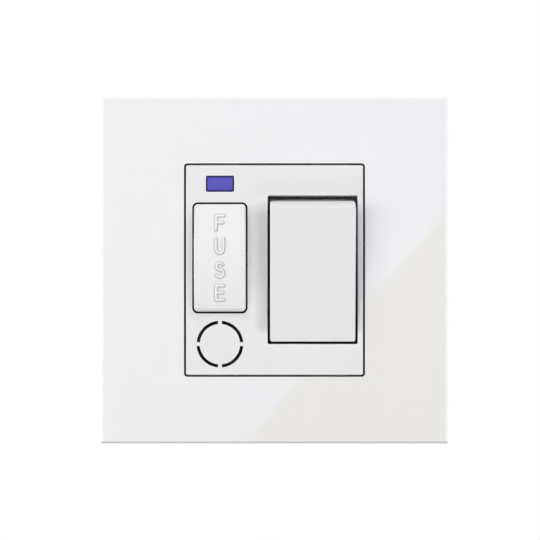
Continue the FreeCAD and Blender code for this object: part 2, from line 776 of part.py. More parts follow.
def module_cover():
    """Moulded front of the module: face, skirt, the rocker's well with its floor, the carrier's and
    the lens's wells."""
    body = new_piece("module_cover")
    whole = centred(origin, origin, s.module_wide, s.module_high, s.module_corner)
    face = front_add(body, [whole], front, cover_inside)
    ease(body, "Fillet", face, edges_at(face, front.number), s.edge_break)
    front_add(body, [
        whole,
        centred(origin, origin, 2 * inner_half_wide, 2 * inner_half_high, s.module_corner),
    ], cover_inside, s.cover_back)
    walls_wide = s.rocker_well_wide + 2 * s.well_wall - s.wall_trim
    walls_high = s.rocker_well_high + 2 * s.well_wall
    front_add(body, [centred(s.rocker_across, origin, walls_wide, walls_high)],
              cover_inside, s.cover_back)
    floor_half = s.rocker_well_high / 2 + s.inner_wall
    front_add(body, [block(rocker_left + s.housing_gap, inner_half_wide - s.housing_gap,
                           -floor_half, floor_half)], cover_inside, floor_back)
    walls_wide = s.carrier_well_wide + 2 * s.inner_wall - s.wall_trim
    walls_high = s.carrier_well_high + 2 * s.inner_wall
    front_add(body, [centred(s.carrier_across, s.carrier_up, walls_wide, walls_high)],
              cover_inside, ledge_back)
    flange_wide, flange_high = lens_hole(s.lens_flange)
    front_add(body, [centred(s.lens_across, s.lens_up, flange_wide + 2 * s.inner_wall,
                             flange_high + s.inner_wall)],
              cover_inside, cover_inside + s.lens_flange_thick)
    front_add(body, [disc(s.outlet_across, s.outlet_up, s.duct_radius + s.duct_wall)],
              cover_inside, s.cover_back)
    ears(body, half_high - s.cover_wall / 2, grid_front - s.front_ear_thick, grid_front)

    # Openings
    well_front = front_cut(body, [centred(s.rocker_across, origin, s.rocker_well_wide, s.rocker_well_high,
                                          s.rocker_well_corner)], front, s.floor_front)
    rim = edges_at(well_front, front.number, (rocker_left, rocker_right, -s.rocker_well_high / 2,
                                              s.rocker_well_high / 2))
    ease(body, "Chamfer", well_front, rim, s.edge_break)
    front_cut(body, [centred(s.rocker_across, origin, 2 * s.pole_half + 2 * s.floor_window_past_pole,
                             2 * s.floor_window_half)], s.floor_front, floor_back)
    front_cut(body, [centred(s.carrier_across, s.carrier_up, s.carrier_well_wide, s.carrier_well_high,
                             s.carrier_well_corner)], front, ledge_front)
    front_cut(body, [centred(s.carrier_across, s.carrier_up, ledge_wide, ledge_high)],
              ledge_front, ledge_back)
    well_left = s.carrier_across - s.carrier_well_wide / 2
    well_right = s.carrier_across + s.carrier_well_wide / 2
    left_half = s.key_left_high / 2 + s.key_gap
    right_half = s.key_right_high / 2 + s.key_gap
    front_cut(body, [
        block(well_left, s.carrier_across, s.carrier_up - left_half, s.carrier_up + left_half),
    ], ledge_front, ledge_back)
    front_cut(body, [
        block(s.carrier_across, well_right, s.carrier_up - right_half, s.carrier_up + right_half),
    ], ledge_front, ledge_back)
    hole_wide, hole_high = lens_hole(origin)
    front_cut(body, [centred(s.lens_across, s.lens_up, hole_wide, hole_high, s.lens_hole_corner)],
              front, cover_inside)
    front_cut(body, [centred(s.lens_across, s.lens_up, flange_wide + 2 * s.seat_gap,
                             flange_high + 2 * s.seat_gap)],
              cover_inside, cover_inside + s.lens_flange_thick)
    front_cut(body, outlet_slots(), front, cover_inside)
    front_cut(body, [disc(s.outlet_across, s.outlet_up, s.duct_radius)], cover_inside, s.cover_back)
    side_cut(body, [disc(-s.pivot_ahead, origin, s.pin_radius + s.pin_gap)],
             rocker_left - s.well_wall, half_wide)
    front_cut(body, both_signs(lambda x, z: disc(x * s.ear_across, z * s.assembly_up,
                                                 s.assembly_radius + s.screw_gap)),
              grid_front - s.front_ear_thick, grid_front)


# Neon indicator

def neon_lens():
    """Moulded blue lens with a flange behind the cover."""
    body = new_piece("neon_lens")
    wide, high = lens_hole(s.lens_flange)
    front_add(body, [centred(s.lens_across, s.lens_up, wide, high)],
              cover_inside, cover_inside + s.lens_flange_thick)
    lens_front = front + s.lens_sunk
    face = front_add(body, [centred(s.lens_across, s.lens_up, s.lens_wide, s.lens_high, s.lens_corner)],
                     lens_front, cover_inside)
    ease(body, "Chamfer", face, edges_at(face, lens_front.number), s.lens_bevel)


def neon_lamp():
    """Small glass bulb lying behind the lens, with two leads to the board."""
    body = new_piece("neon_lamp")
    left = s.lens_across - s.lamp_half
    right = s.lens_across + s.lamp_half
    bulb = side_add(body, [disc(s.lamp_depth, s.lens_up, s.lamp_radius)], left, right)
    doc.recompute()
    ends = [f"Edge{i}" for i, e in enumerate(bulb.Shape.Edges, 1) if e.BoundBox.XLength < 1e-4]
    ease(body, "Fillet", bulb, ends, s.lamp_round)
    leads = [disc(s.lens_across + x * s.lamp_half / 2, s.lens_up, s.lead_radius) for x in (-1, 1)]
    front_add(body, leads, s.lamp_depth, s.board_front)


def indicator_board():
    """Narrow circuit board across the top of the module."""
    body = new_piece("indicator_board")
    front_add(body, [block(-s.board_half, s.board_half, s.board_low, s.board_low + s.board_high)],
              s.board_front, s.board_front + s.board_thick)


def neon_resistor():
    """Axial resistor in series with the lamp, its leads bent to the board."""
    body = new_piece("neon_resistor")
    middle = s.board_low + s.board_high / 2
    depth = s.board_front - s.resistor_radius - s.seat_gap
    side_add(body, [disc(depth, middle, s.resistor_radius)],
             s.resistor_across - s.resistor_half, s.resistor_across + s.resistor_half)
    reach = s.resistor_half + 3 * s.lead_radius
    side_add(body, [disc(depth, middle, s.lead_radius)],
             s.resistor_across - reach, s.resistor_across + reach)
    front_add(body, [centred(s.resistor_across + x * (reach - s.lead_radius), middle,
                             2 * s.lead_radius, 2 * s.lead_radius) for x in (-1, 1)],
              depth, s.board_front)


def indicator_leaves():
    """Two spring leaves that bring the load side's voltage to the board."""
    board_back = s.board_front + s.board_thick
    top = s.board_low + s.board_high / 2
    for name, across in (("line_indicator_leaf", line_across), ("neutral_indicator_leaf", neutral_across)):
        body = new_piece(name)
        side_add(body, [outline(
            (board_back, top - s.leaf_foot),
            (board_back + s.leaf_thick, top - s.leaf_foot),
            (board_back + s.leaf_thick, top - s.leaf_thick),
            (strap_front, top - s.leaf_thick),
            (strap_front, top),
            (board_back, top),
        )], across - s.leaf_wide / 2, across + s.leaf_wide / 2)


# Rocker and what rides in it

def at_pivot(body, tilt):
    """Turns a piece, drawn about its own axis, to its place on the rocker's pivot."""
    body.Placement = Placement(Vector(0, 0, 0), Rotation(Vector(1, 0, 0), tilt.number))
    bind(body, "Placement.Base.x", s.rocker_across)
    bind(body, "Placement.Base.y", -s.pivot_ahead)
    bind(body, "Placement.Rotation.Angle", tilt)


def rocker():
    """Moulded rocker: a shell with drafted ends, pivot pins and a socket for each plunger."""
    body = new_piece("rocker")
    half = s.rocker_wide / 2
    face = -s.rocker_face_ahead
    skirt = s.rocker_skirt_behind
    draft = -s.rocker_draft_ahead
    shell = side_add(body, [outline(
        (face, -s.rocker_face_half),
        (face, s.rocker_face_half),
        (draft, s.rocker_skirt_half),
        (skirt, s.rocker_skirt_half),
        (skirt, -s.rocker_skirt_half),
        (draft, -s.rocker_skirt_half),
    )], -half, half)
    doc.recompute()
    corners = [f"Edge{i}" for i, e in enumerate(shell.Shape.Edges, 1)
               if e.BoundBox.YLength > 1 and e.BoundBox.XLength < 1e-4]
    rounded = ease(body, "Fillet", shell, corners, s.rocker_corner)
    ease(body, "Fillet", rounded, edges_at(rounded, face.number), s.rocker_edge)
    side_cut(body, [outline(
        (face + s.rocker_wall, -(s.rocker_face_half - s.rocker_wall)),
        (face + s.rocker_wall, s.rocker_face_half - s.rocker_wall),
        (draft, s.rocker_skirt_half - s.rocker_wall),
        (skirt, s.rocker_skirt_half - s.rocker_wall),
        (skirt, -(s.rocker_skirt_half - s.rocker_wall)),
        (draft, -(s.rocker_skirt_half - s.rocker_wall)),
    )], -(half - s.rocker_wall), half - s.rocker_wall)
    hollow = face + s.rocker_wall
    socket = s.plunger_radius + s.plunger_gap
    front_add(body, [disc(x * s.pole_half, origin, socket + s.socket_wall) for x in (-1, 1)],
              hollow - s.rocker_wall / 2, s.socket_mouth)
    front_cut(body, [disc(x * s.pole_half, origin, socket) for x in (-1, 1)],
              -s.socket_floor, s.socket_mouth)
    for x in (-1, 1):
        inner = x * (half - s.rocker_wall / 2)
        outer = x * s.pin_reach
        side_add(body, [disc(origin, origin, s.pin_radius)],
                 inner if x > 0 else outer, outer if x > 0 else inner)
    at_pivot(body, s.rocker_tilt)


def plungers():
    """Two spring-loaded plungers that slide in the rocker's sockets."""
    for name, x in (("line_plunger", -1), ("neutral_plunger", 1)):
        body = new_piece(name)
        rod = front_add(body, [disc(x * s.pole_half, origin, s.plunger_radius)],
                        s.plunger_back, s.plunger_reach)
        ease(body, "Fillet", rod, edges_at(rod, s.plunger_reach.number), s.plunger_round)
        at_pivot(body, s.rocker_tilt)


def plunger_springs():
    """The coil spring behind each plunger: round wire bent as a many-sided helix."""
    sides = 12
    start = -s.socket_floor.number + s.spring_wire.number + s.seat_gap.number
    end = s.plunger_back.number - s.spring_wire.number - s.seat_gap.number
    steps = int(round(s.spring_turns.number * sides))
    for name, x in (("line_plunger_spring", -1), ("neutral_plunger_spring", 1)):
        across = x * s.pole_half.number
        spots = []
        for i in range(steps + 1):
            angle = 2 * math.pi * i / sides
            spots.append(Vector(across + s.spring_radius.number * math.cos(angle),
                                start + (end - start) * i / steps,
                                s.spring_radius.number * math.sin(angle)))
        path = Part.makePolygon(spots)
        section = Part.Circle(spots[0], spots[1] - spots[0], s.spring_wire.number).toShape()
        sections = [Part.Wire(Part.makePolygon([section.valueAt(t * math.pi / 3) for t in range(6)]
                                               + [section.valueAt(0)]).Edges)]
        coil = path.makePipeShell(sections, True, True, 1)
        feature = doc.addObject("Part::Feature", name)
        feature.Label = name
        feature.Shape = coil
        pieces.append(feature)
        at_pivot(feature, s.rocker_tilt)


# Contacts

def at_hinge(body, across):
    """Turns a moving contact to the tilt that the rocker gives it."""
    body.Placement = Placement(Vector(0, 0, 0), Rotation(Vector(1, 0, 0), -s.rocker_tilt.number))
    bind(body, "Placement.Base.x", across)
    bind(body, "Placement.Base.y", s.hinge_depth)
    bind(body, "Placement.Rotation.Angle", -s.rocker_tilt)


def moving_contacts():
    """See-saw contacts: brass strips with pivot lugs, each with a silver tip at its upper end."""
    half = s.contact_wide / 2
    reach = half + s.cheek_gap + s.cheek_thick
    for name, across in (("line", line_across), ("neutral", neutral_across)):
        strip = new_piece(f"{name}_moving_contact")
        front_add(strip, [centred(origin, origin, s.contact_wide, 2 * s.contact_half, s.contact_thick)],
                  -s.contact_thick / 2, s.contact_thick / 2)
        side_add(strip, [disc(origin, origin, s.contact_pin)], -reach, reach)
        at_hinge(strip, across)
        tip = new_piece(f"{name}_moving_tip")
        front_add(tip, [disc(origin, s.tip_up, s.tip_radius)],
                  s.contact_thick / 2, s.contact_thick / 2 + s.tip_thick)
        at_hinge(tip, across)


def cheeks(body, across):
    """Two upright ears of a strap that carry a moving contact's lugs."""
    low = -s.cheek_half
    inner = s.contact_wide / 2 + s.cheek_gap
    for x in (-1, 1):
        near = across + x * inner
        far = across + x * (inner + s.cheek_thick)
        side_add(body, [block(s.cheek_top, strap_front + s.strap_thick / 2, low, s.cheek_half)],
                 near if x > 0 else far, far if x > 0 else near)
    side_cut(body, [disc(s.hinge_depth, origin, s.contact_pin + s.contact_pin_gap)],
             across - inner - s.cheek_thick, across + inner + s.cheek_thick)


def post_base(across):
    """The foot of a centre post, wide enough for both cheeks."""
    wide = s.contact_wide + 2 * s.cheek_gap + 2 * s.cheek_thick
    return centred(across, origin, wide, 2 * s.cheek_half)


def load_straps():
    """The straps from the fixed contacts up to the load terminals, with their silver tips."""
    for name, across in (("load_line_strap", line_across), ("load_neutral_strap", neutral_across)):
        body = new_piece(name)
        front_add(body, [block(across - s.strap_wide / 2, across + s.strap_wide / 2,
                               s.tip_up - s.strap_wide / 2, terminal_outer - s.terminal_high / 2)],
                  strap_front, s.deck_front)
    tips = new_piece("fixed_contact_tips")
    front_add(tips, [disc(across, s.tip_up, s.fixed_tip_radius) for across in (line_across, neutral_across)],
              strap_front - s.fixed_tip_high, strap_front)


def neutral_feed_strap():
    """The strap from the supply neutral terminal up to its centre post."""
    body = new_piece("neutral_feed_strap")
    front_add(body, [outline(
        (neutral_across - s.strap_wide / 2, -screw_level),
        (neutral_across + s.strap_wide / 2, -screw_level),
        (neutral_across + s.strap_wide / 2, origin),
        (neutral_across - s.strap_wide / 2, origin),
    )], strap_front, s.deck_front)
    front_add(body, [post_base(neutral_across)], strap_front, s.deck_front)
    cheeks(body, neutral_across)


def clip_arms(body, low, high):
    """The two sprung arms of a fuse clip, flared at their tips."""
    for x in (-1, 1):
        def across(reach):
            return s.carrier_across + x * reach
        inner = s.clip_half
        outer = s.clip_half + s.clip_thick
        up_add(body, [outline(
            (across(inner), strap_front + s.strap_thick / 2),
            (across(outer), strap_front + s.strap_thick / 2),
            (across(outer), s.clip_straight),
            (across(outer + s.clip_flare), s.clip_tip),
            (across(inner + s.clip_flare), s.clip_tip),
            (across(inner), s.clip_straight),
        )], low, high)


def fuse_clips():
    """The upper clip with its strap to the supply terminal, and the lower with the line's feed strap."""
    upper = new_piece("supply_line_clip")
    high = fuse_top - s.clip_from_end
    low = high - s.clip_long
    half = s.clip_strap_wide / 2
    front_add(upper, [block(s.carrier_across - half, s.carrier_across + half, low, screw_level)],
              strap_front, s.deck_front)
    clip_arms(upper, low, high)
    lower = new_piece("fused_line_clip")
    low = fuse_bottom + s.clip_from_end
    high = low + s.clip_long
    bar_right = line_across + s.strap_wide / 2
    front_add(lower, [block(s.carrier_across - half, s.carrier_across + half, low, high)],
              strap_front, s.deck_front)
    front_add(lower, [block(s.carrier_across, bar_right, low, low + s.line_bar_wide)],
              strap_front, s.deck_front)
    front_add(lower, [block(line_across - s.strap_wide / 2, bar_right, low, origin)],
              strap_front, s.deck_front)
    front_add(lower, [post_base(line_across)], strap_front, s.deck_front)
    clip_arms(lower, low, high)
    cheeks(lower, line_across)


# Fuse and its carrier

def fuse():
    """Cartridge fuse: a ceramic tube and two pressed caps."""
    tube = new_piece("fuse_tube")
    inner = s.fuse_long / 2 - s.fuse_cap_wall
    up_add(tube, [disc(s.carrier_across, s.fuse_depth, s.fuse_tube_radius)],
           s.carrier_up - inner, s.carrier_up + inner)
    for name, side in (("upper_fuse_cap", 1), ("lower_fuse_cap", -1)):
        cap = new_piece(name)
        end = s.carrier_up + side * s.fuse_long / 2
        rim = end - side * s.fuse_cap_long
        floor = end - side * s.fuse_cap_wall
        low, high = (rim, end) if side > 0 else (end, rim)
        up_add(cap, [disc(s.carrier_across, s.fuse_depth, s.fuse_radius)], low, high)
        low, high = (rim, floor) if side > 0 else (floor, rim)
        up_cut(cap, [disc(s.carrier_across, s.fuse_depth, s.fuse_tube_radius + s.fuse_gap)], low, high)


def fuse_carrier():
    """Drawer that holds the fuse: crowned head, open body with cradles, and two keys of unlike width."""
    body = new_piece("fuse_carrier")
    head_back = ledge_front - s.seat_gap
    head_front = front - s.carrier_end_proud - s.carrier_crown
    beyond = head_front - s.carrier_crown
    half_head = s.carrier_head_high / 2
    front_add(body, [centred(s.carrier_across, s.carrier_up, s.carrier_head_wide, s.carrier_head_high,
                             s.carrier_head_corner)], head_front, head_back)
    crown_radius = (half_head * half_head + s.carrier_crown * s.carrier_crown) / (2 * s.carrier_crown)
    shoulder = front - s.carrier_end_proud
    crown = side_cut(body, [outline(
        (shoulder, s.carrier_up + half_head, crown_radius),
        (shoulder, s.carrier_up - half_head),
        (beyond, s.carrier_up - half_head),
        (beyond, s.carrier_up + half_head),
    )], s.carrier_across - s.carrier_head_wide, s.carrier_across + s.carrier_head_wide)
    doc.recompute()
    names = []
    for i, face in enumerate(crown.Shape.Faces):
        if face.Surface.TypeId == "Part::GeomCylinder" and face.Surface.Radius > half_head.number:
            names = [f"Edge{j}" for j, edge in enumerate(crown.Shape.Edges, 1)
                     if any(edge.isSame(e) for e in face.Edges)]
    ease(body, "Fillet", crown, names, s.carrier_head_edge)
    low = s.carrier_up - carrier_high / 2
    high = s.carrier_up + carrier_high / 2
    front_add(body, [block(carrier_left, carrier_left + s.carrier_wall, low, high),
                     block(carrier_right - s.carrier_wall, carrier_right, low, high)],
              head_back, s.carrier_back)
    front_add(body, [block(carrier_left, carrier_right, low, low + s.carrier_end_wall),
                     block(carrier_left, carrier_right, high - s.carrier_end_wall, high)],
              head_back, s.carrier_end_back)
    cradles = []
    for side in (-1, 1):
        middle = s.carrier_up + side * s.cradle_spread
        cradles.append(block(carrier_left, carrier_right, middle - s.cradle_thick / 2,
                             middle + s.cradle_thick / 2))
    front_add(body, cradles, head_back, s.cradle_back)
    reach = s.cradle_spread + s.cradle_thick
    bore = s.fuse_tube_radius + 2 * s.fuse_gap
    up_cut(body, [disc(s.carrier_across, s.fuse_depth, bore)],
           s.carrier_up - reach, s.carrier_up + reach)
    for side, key_high in ((-1, s.key_left_high), (1, s.key_right_high)):
        edge = s.carrier_across + side * carrier_wide / 2
        root = edge - side * s.carrier_wall / 2
        tip = edge + side * s.key_rise
        front_add(body, [block(root if side > 0 else tip, tip if side > 0 else root,
                               s.carrier_up - key_high / 2, s.carrier_up + key_high / 2)],
                  s.key_start, s.key_end)


# Rear housing

def terminal_places():
    """Each terminal's name, middle across, width, side of the module and wire holes across."""
    half_pitch = s.earth_pitch / 2
    return [
        ("supply_line_terminal", s.carrier_across, s.terminal_wide, 1, [s.carrier_across]),
        ("load_line_terminal", line_across, s.terminal_wide, 1, [line_across]),
        ("load_neutral_terminal", neutral_across, s.terminal_wide, 1, [neutral_across]),
        ("supply_neutral_terminal", neutral_across, s.terminal_wide, -1, [neutral_across]),
        ("earth_terminal", s.earth_across, s.earth_wide, -1,
         [s.earth_across - half_pitch, s.earth_across + half_pitch]),
    ]


def between(side, inner, outer):
    """The lower and upper of two distances from the middle, on one side of it."""
    return (inner, outer) if side > 0 else (-outer, -inner)


def rear_housing():
    """Moulded rear: deck for the straps, fuse well, cord duct, terminal pockets and ears."""
    body = new_piece("rear_housing")
    front_add(body, [centred(origin, origin, s.module_wide, s.module_high, s.module_corner)],
              housing_front, housing_back)
    front_cut(body, [centred(origin, origin, 2 * inner_half_wide, 2 * inner_half_high)],
              housing_front, s.deck_front)
    front_cut(body, [block(-inner_half_wide, inner_half_wide, -s.rear_recess_half, s.rear_recess_half)],
              deck_back, housing_back)
    well_wide = carrier_wide + 2 * s.fuse_well_gap
    well_high = carrier_high + 2 * s.fuse_well_gap
    front_add(body, [
        centred(s.carrier_across, s.carrier_up, well_wide + 2 * s.inner_wall, well_high + 2 * s.inner_wall),
        centred(s.carrier_across, s.carrier_up, well_wide, well_high),
    ], housing_front, s.deck_front)
    partition_top = s.board_low - 2 * s.strap_gap
    partition_low = -inner_half_high - s.wall_trim
    front_add(body, [block(rocker_left - s.well_wall, rocker_left, partition_low, partition_top)],
              housing_front, s.deck_front)
    front_add(body, [disc(s.outlet_across, s.outlet_up, s.duct_radius + s.duct_wall)],
              housing_front, s.deck_front)
    board_back = s.board_front + s.board_thick
    post_right = s.board_half + s.board_post_out
    front_add(body, [block(x_low, x_high, s.board_low, s.board_low + s.board_high) for x_low, x_high in
                     ((-post_right, s.board_post - post_right), (post_right - s.board_post, post_right))],
              board_back, s.deck_front)
    front_add(body, [disc(s.clamp_across + x * s.clamp_screw_across, s.clamp_up, s.clamp_post)
                     for x in (-1, 1)], s.deck_front, s.clamp_front)
    front_cut(body, [disc(s.outlet_across, s.outlet_up, s.duct_radius)], housing_front, s.deck_front)
    front_cut(body, [disc(s.outlet_across, s.outlet_up, s.cord_hole)], s.deck_front, deck_back)
    front_cut(body, [block(s.outlet_across - s.duct_radius, s.outlet_across + s.duct_radius,
                           s.outlet_up - s.duct_radius, -s.rear_recess_half)], deck_back, housing_back)

    # Ears behind the grid, joined to the side walls behind the cover's skirt
    ears(body, half_high + 2 * s.grid_gap, origin, s.rear_ear_thick)
    bridges = []
    for x in (-1, 1):
        left = x * s.ear_across - s.ear_wide / 2
        right = x * s.ear_across + s.ear_wide / 2
        bridges.append(block(left, right, half_high - s.cover_wall / 2, half_high + 3 * s.grid_gap))
        bridges.append(block(left, right, -half_high - 3 * s.grid_gap, -half_high + s.cover_wall / 2))
    front_add(body, bridges, housing_front, s.rear_ear_thick)
    front_cut(body, both_signs(lambda x, z: disc(x * s.ear_across, z * s.assembly_up,
                                                 s.assembly_radius + 2 * s.screw_gap)),
              origin, s.rear_ear_thick)

    # Pockets for the terminals, open at the rear, and the wire entries above and below
    pockets = []
    entries = []
    for name, across, wide, side, wires in terminal_places():
        low, high = between(side, terminal_inner - s.terminal_gap, terminal_outer + s.terminal_gap)
        half = wide / 2 + s.terminal_gap
        pockets.append(block(across - half, across + half, low, high))
        low, high = between(side, terminal_outer, half_high)
        first = wires[0] - s.wire_entry / 2
        last = wires[-1] + s.wire_entry / 2
        entries.append(block(first, last, low, high))
    front_cut(body, pockets, s.deck_front, housing_back)
    front_cut(body, entries, wire_axis - s.wire_entry / 2, housing_back)

    # Channels that let the straps pass under the inner walls
    gap = s.strap_gap
    strap_half = s.strap_wide / 2 + gap
    clip_half = s.clip_strap_wide / 2 + gap
    bar_low = fuse_bottom + s.clip_from_end
    earth_half = s.earth_strap_wide / 2 + gap
    front_cut(body, [
        block(s.carrier_across - clip_half, s.carrier_across + clip_half, fuse_top, terminal_inner),
        block(s.carrier_across, line_across, bar_low - gap, bar_low + s.line_bar_wide + gap),
        block(s.earth_across - earth_half, s.earth_across + earth_half, -half_high, -screw_level),
    ], strap_front - gap, s.deck_front)


# Terminals

def terminals():
    """Brass terminal blocks: a wire hole along Z and a clamping screw from the rear for each."""
    screws = []
    for name, across, wide, side, wires in terminal_places():
        body = new_piece(name)
        low, high = between(side, terminal_inner, terminal_outer)
        front_add(body, [block(across - wide / 2, across + wide / 2, low, high)],
                  s.deck_front, terminal_back)
        up_cut(body, [disc(wire, wire_axis, s.wire_radius) for wire in wires], low, high)
        hole = s.terminal_screw + s.terminal_screw_gap
        level = side * screw_level
        front_cut(body, [disc(wire, level, hole) for wire in wires], wire_axis, terminal_back)
        screws += [(wire, level) for wire in wires]
    body = new_piece("terminal_screws")
    head_front = terminal_back + s.terminal_screw_gap
    head_back = head_front + s.terminal_head_high
    front_add(body, [disc(x, z, s.terminal_screw) for x, z in screws],
              s.deck_front + s.terminal_screw_tip, head_front)
    front_add(body, [disc(x, z, s.terminal_head) for x, z in screws], head_front, head_back)
    front_cut(body, [slot(x, z, s.terminal_head) for x, z in screws],
              head_back - s.screw_slot_deep, head_back)


def earth_strap():
    """Strap from the earth terminal out of the housing and forward to the grid, and its rivet."""
    body = new_piece("earth_strap")
    outside = -(half_high + s.earth_clear)
    far = outside - s.strap_thick
    half = s.earth_strap_wide / 2
    side_add(body, [outline(
        (s.deck_front, -screw_level),
        (strap_front, -screw_level),
        (strap_front, outside),
        (origin, outside),
        (origin, -s.earth_foot_end),
        (s.strap_thick, -s.earth_foot_end),
        (s.strap_thick, far),
        (s.deck_front, far),
    )], s.earth_across - half, s.earth_across + half)
    level = -(half_high + s.earth_foot_end) / 2
    front_cut(body, [disc(s.earth_across, level, s.rivet_radius + s.screw_gap)],
              origin, s.strap_thick)
    rivet = new_piece("earth_rivet")
    front_add(rivet, [disc(s.earth_across, level, s.rivet_radius)], grid_front, s.strap_thick)
    front_add(rivet, [disc(s.earth_across, level, s.rivet_head)],
              grid_front - s.rivet_head_high, grid_front)
    front_add(rivet, [disc(s.earth_across, level, s.rivet_head)],
              s.strap_thick, s.strap_thick + s.rivet_head_high)


def assembly_screws():
    """Four screws from the rear that clamp the grid between the housing's and the cover's ears."""
    body = new_piece("assembly_screws")
    head_front = s.rear_ear_thick
    places = [(x * s.ear_across, z * s.assembly_up) for x in (-1, 1) for z in (-1, 1)]
    front_add(body, [disc(x, z, s.assembly_radius) for x, z in places],
              grid_front - s.assembly_bite, head_front)
    front_add(body, [disc(x, z, s.assembly_head) for x, z in places],
              head_front, head_front + s.assembly_head_high)
    front_cut(body, [slot(x, z, s.assembly_head) for x, z in places],
              head_front + s.assembly_head_high - s.screw_slot_deep, head_front + s.assembly_head_high)


def cord_clamp():
    """Arched bar that grips the flexible cord behind the deck, with its two screws."""
    bar = new_piece("cord_clamp_bar")
    back = s.clamp_front + s.clamp_thick
    rise = back + s.clamp_arch_rise
    middle = s.clamp_across
    arch = s.clamp_arch
    arch_top = s.clamp_arch_top
    up_add(bar, [outline(
        (middle - s.clamp_half, s.clamp_front),
        (middle - arch, s.clamp_front),
        (middle - arch_top, s.clamp_front + s.clamp_arch_rise),
        (middle + arch_top, s.clamp_front + s.clamp_arch_rise),
        (middle + arch, s.clamp_front),
        (middle + s.clamp_half, s.clamp_front),
        (middle + s.clamp_half, back),
        (middle + arch, back),
        (middle + arch_top, rise),
        (middle - arch_top, rise),
        (middle - arch, back),
        (middle - s.clamp_half, back),
    )], s.clamp_up - s.clamp_high / 2, s.clamp_up + s.clamp_high / 2)
    places = [s.clamp_across + x * s.clamp_screw_across for x in (-1, 1)]
    front_cut(bar, [disc(x, s.clamp_up, s.assembly_radius + s.screw_gap) for x in places],
              s.clamp_front, back)
    screws = new_piece("cord_clamp_screws")
    head_back = back + s.clamp_head_high
    front_add(screws, [disc(x, s.clamp_up, s.assembly_radius) for x in places], s.clamp_front, back)
    front_add(screws, [disc(x, s.clamp_up, s.clamp_post) for x in places], back, head_back)
    front_cut(screws, [slot(x, s.clamp_up, s.clamp_post) for x in places],
              head_back - s.screw_slot_deep, head_back)


glass_plate()
fascia_frame()
mounting_grid()
fixing_screws()
module_cover()
neon_lens()
neon_lamp()
indicator_board()
neon_resistor()
indicator_leaves()
rocker()
plungers()
plunger_springs()
moving_contacts()
load_straps()
neutral_feed_strap()
fuse_clips()
fuse()
fuse_carrier()
rear_housing()
terminals()
earth_strap()
assembly_screws()
cord_clamp()

doc.recompute()
for thing in doc.Objects:
    if "Invalid" in thing.State or "Error" in thing.State:
        raise RuntimeError(f"{thing.Name} ({thing.Label}) failed: {thing.State}")
for pocket in carved:
    if pocket.Shape.Volume > pocket.BaseFeature.Shape.Volume - 1e-3:
        raise RuntimeError(f"{pocket.Name} cuts nothing")
os.makedirs("parts", exist_ok=True)
for piece in pieces:
    shape = piece.Shape
    if shape.isNull() or not shape.isValid():
        raise RuntimeError(f"{piece.Label} has no valid shape")
    shape.exportStep(f"parts/{piece.Label}.step")
    print(piece.Label, len(shape.Solids), round(shape.Volume, 1), shape.BoundBox)
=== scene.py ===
"""Looks of the switched and fused spur unit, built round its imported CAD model."""

import json
import math

import bmesh
import bpy
from mathutils import Matrix, Vector
from mathutils.bvhtree import BVHTree


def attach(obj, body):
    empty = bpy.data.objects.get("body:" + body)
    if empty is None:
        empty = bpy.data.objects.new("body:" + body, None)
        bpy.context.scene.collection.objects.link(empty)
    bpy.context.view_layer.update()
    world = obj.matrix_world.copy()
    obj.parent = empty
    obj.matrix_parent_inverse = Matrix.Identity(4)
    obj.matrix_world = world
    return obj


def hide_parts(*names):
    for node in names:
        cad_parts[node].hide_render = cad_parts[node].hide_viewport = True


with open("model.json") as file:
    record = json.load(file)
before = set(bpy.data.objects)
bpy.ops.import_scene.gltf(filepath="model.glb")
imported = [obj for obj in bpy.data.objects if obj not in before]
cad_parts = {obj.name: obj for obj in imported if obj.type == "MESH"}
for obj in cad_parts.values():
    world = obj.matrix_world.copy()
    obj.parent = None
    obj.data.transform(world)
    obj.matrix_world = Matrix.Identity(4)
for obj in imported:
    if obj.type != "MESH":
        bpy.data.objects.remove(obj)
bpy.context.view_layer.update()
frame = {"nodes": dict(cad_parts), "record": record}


# Rear housing and cord clamp
# Light grey urea mouldings. The housing carries every live part on its deck and goes into the wall box; the
# arched bar is screwed down over the flexible cord. The duct that the cord comes through is painted dark and
# dull, a painted shade.

MM = 0.001
HOUSING_GREY = (0.60, 0.62, 0.64)
DUCT_X = -14.78 * MM
DUCT_Z = -20.08 * MM
DUCT_RADIUS = 6.8 * MM
DUCT_UNSHADED_FROM = 14.0 * MM
DUCT_SHADED_TO = 9.0 * MM

nodes = frame["nodes"]


class Value:
    """What a node gives out. Arithmetic on one that is a number adds Math nodes to its tree."""

    def __init__(self, owner, socket):
        self.owner = owner
        self.socket = socket

    def __add__(self, other):
        return self.owner.math("ADD", self, other)

    def __radd__(self, other):
        return self.owner.math("ADD", other, self)

    def __sub__(self, other):
        return self.owner.math("SUBTRACT", self, other)

    def __rsub__(self, other):
        return self.owner.math("SUBTRACT", other, self)

    def __mul__(self, other):
        return self.owner.math("MULTIPLY", self, other)

    def __rmul__(self, other):
        return self.owner.math("MULTIPLY", other, self)

    def __truediv__(self, other):
        return self.owner.math("DIVIDE", self, other)

    def __rtruediv__(self, other):
        return self.owner.math("DIVIDE", other, self)

    def larger(self, other):
        """The larger of two numbers."""
        return self.owner.math("MAXIMUM", self, other)

    def inside(self, low, high):
        """1 where the number lies between two limits, 0 elsewhere."""
        return self.owner.math("GREATER_THAN", self, low) * self.owner.math("LESS_THAN", self, high)


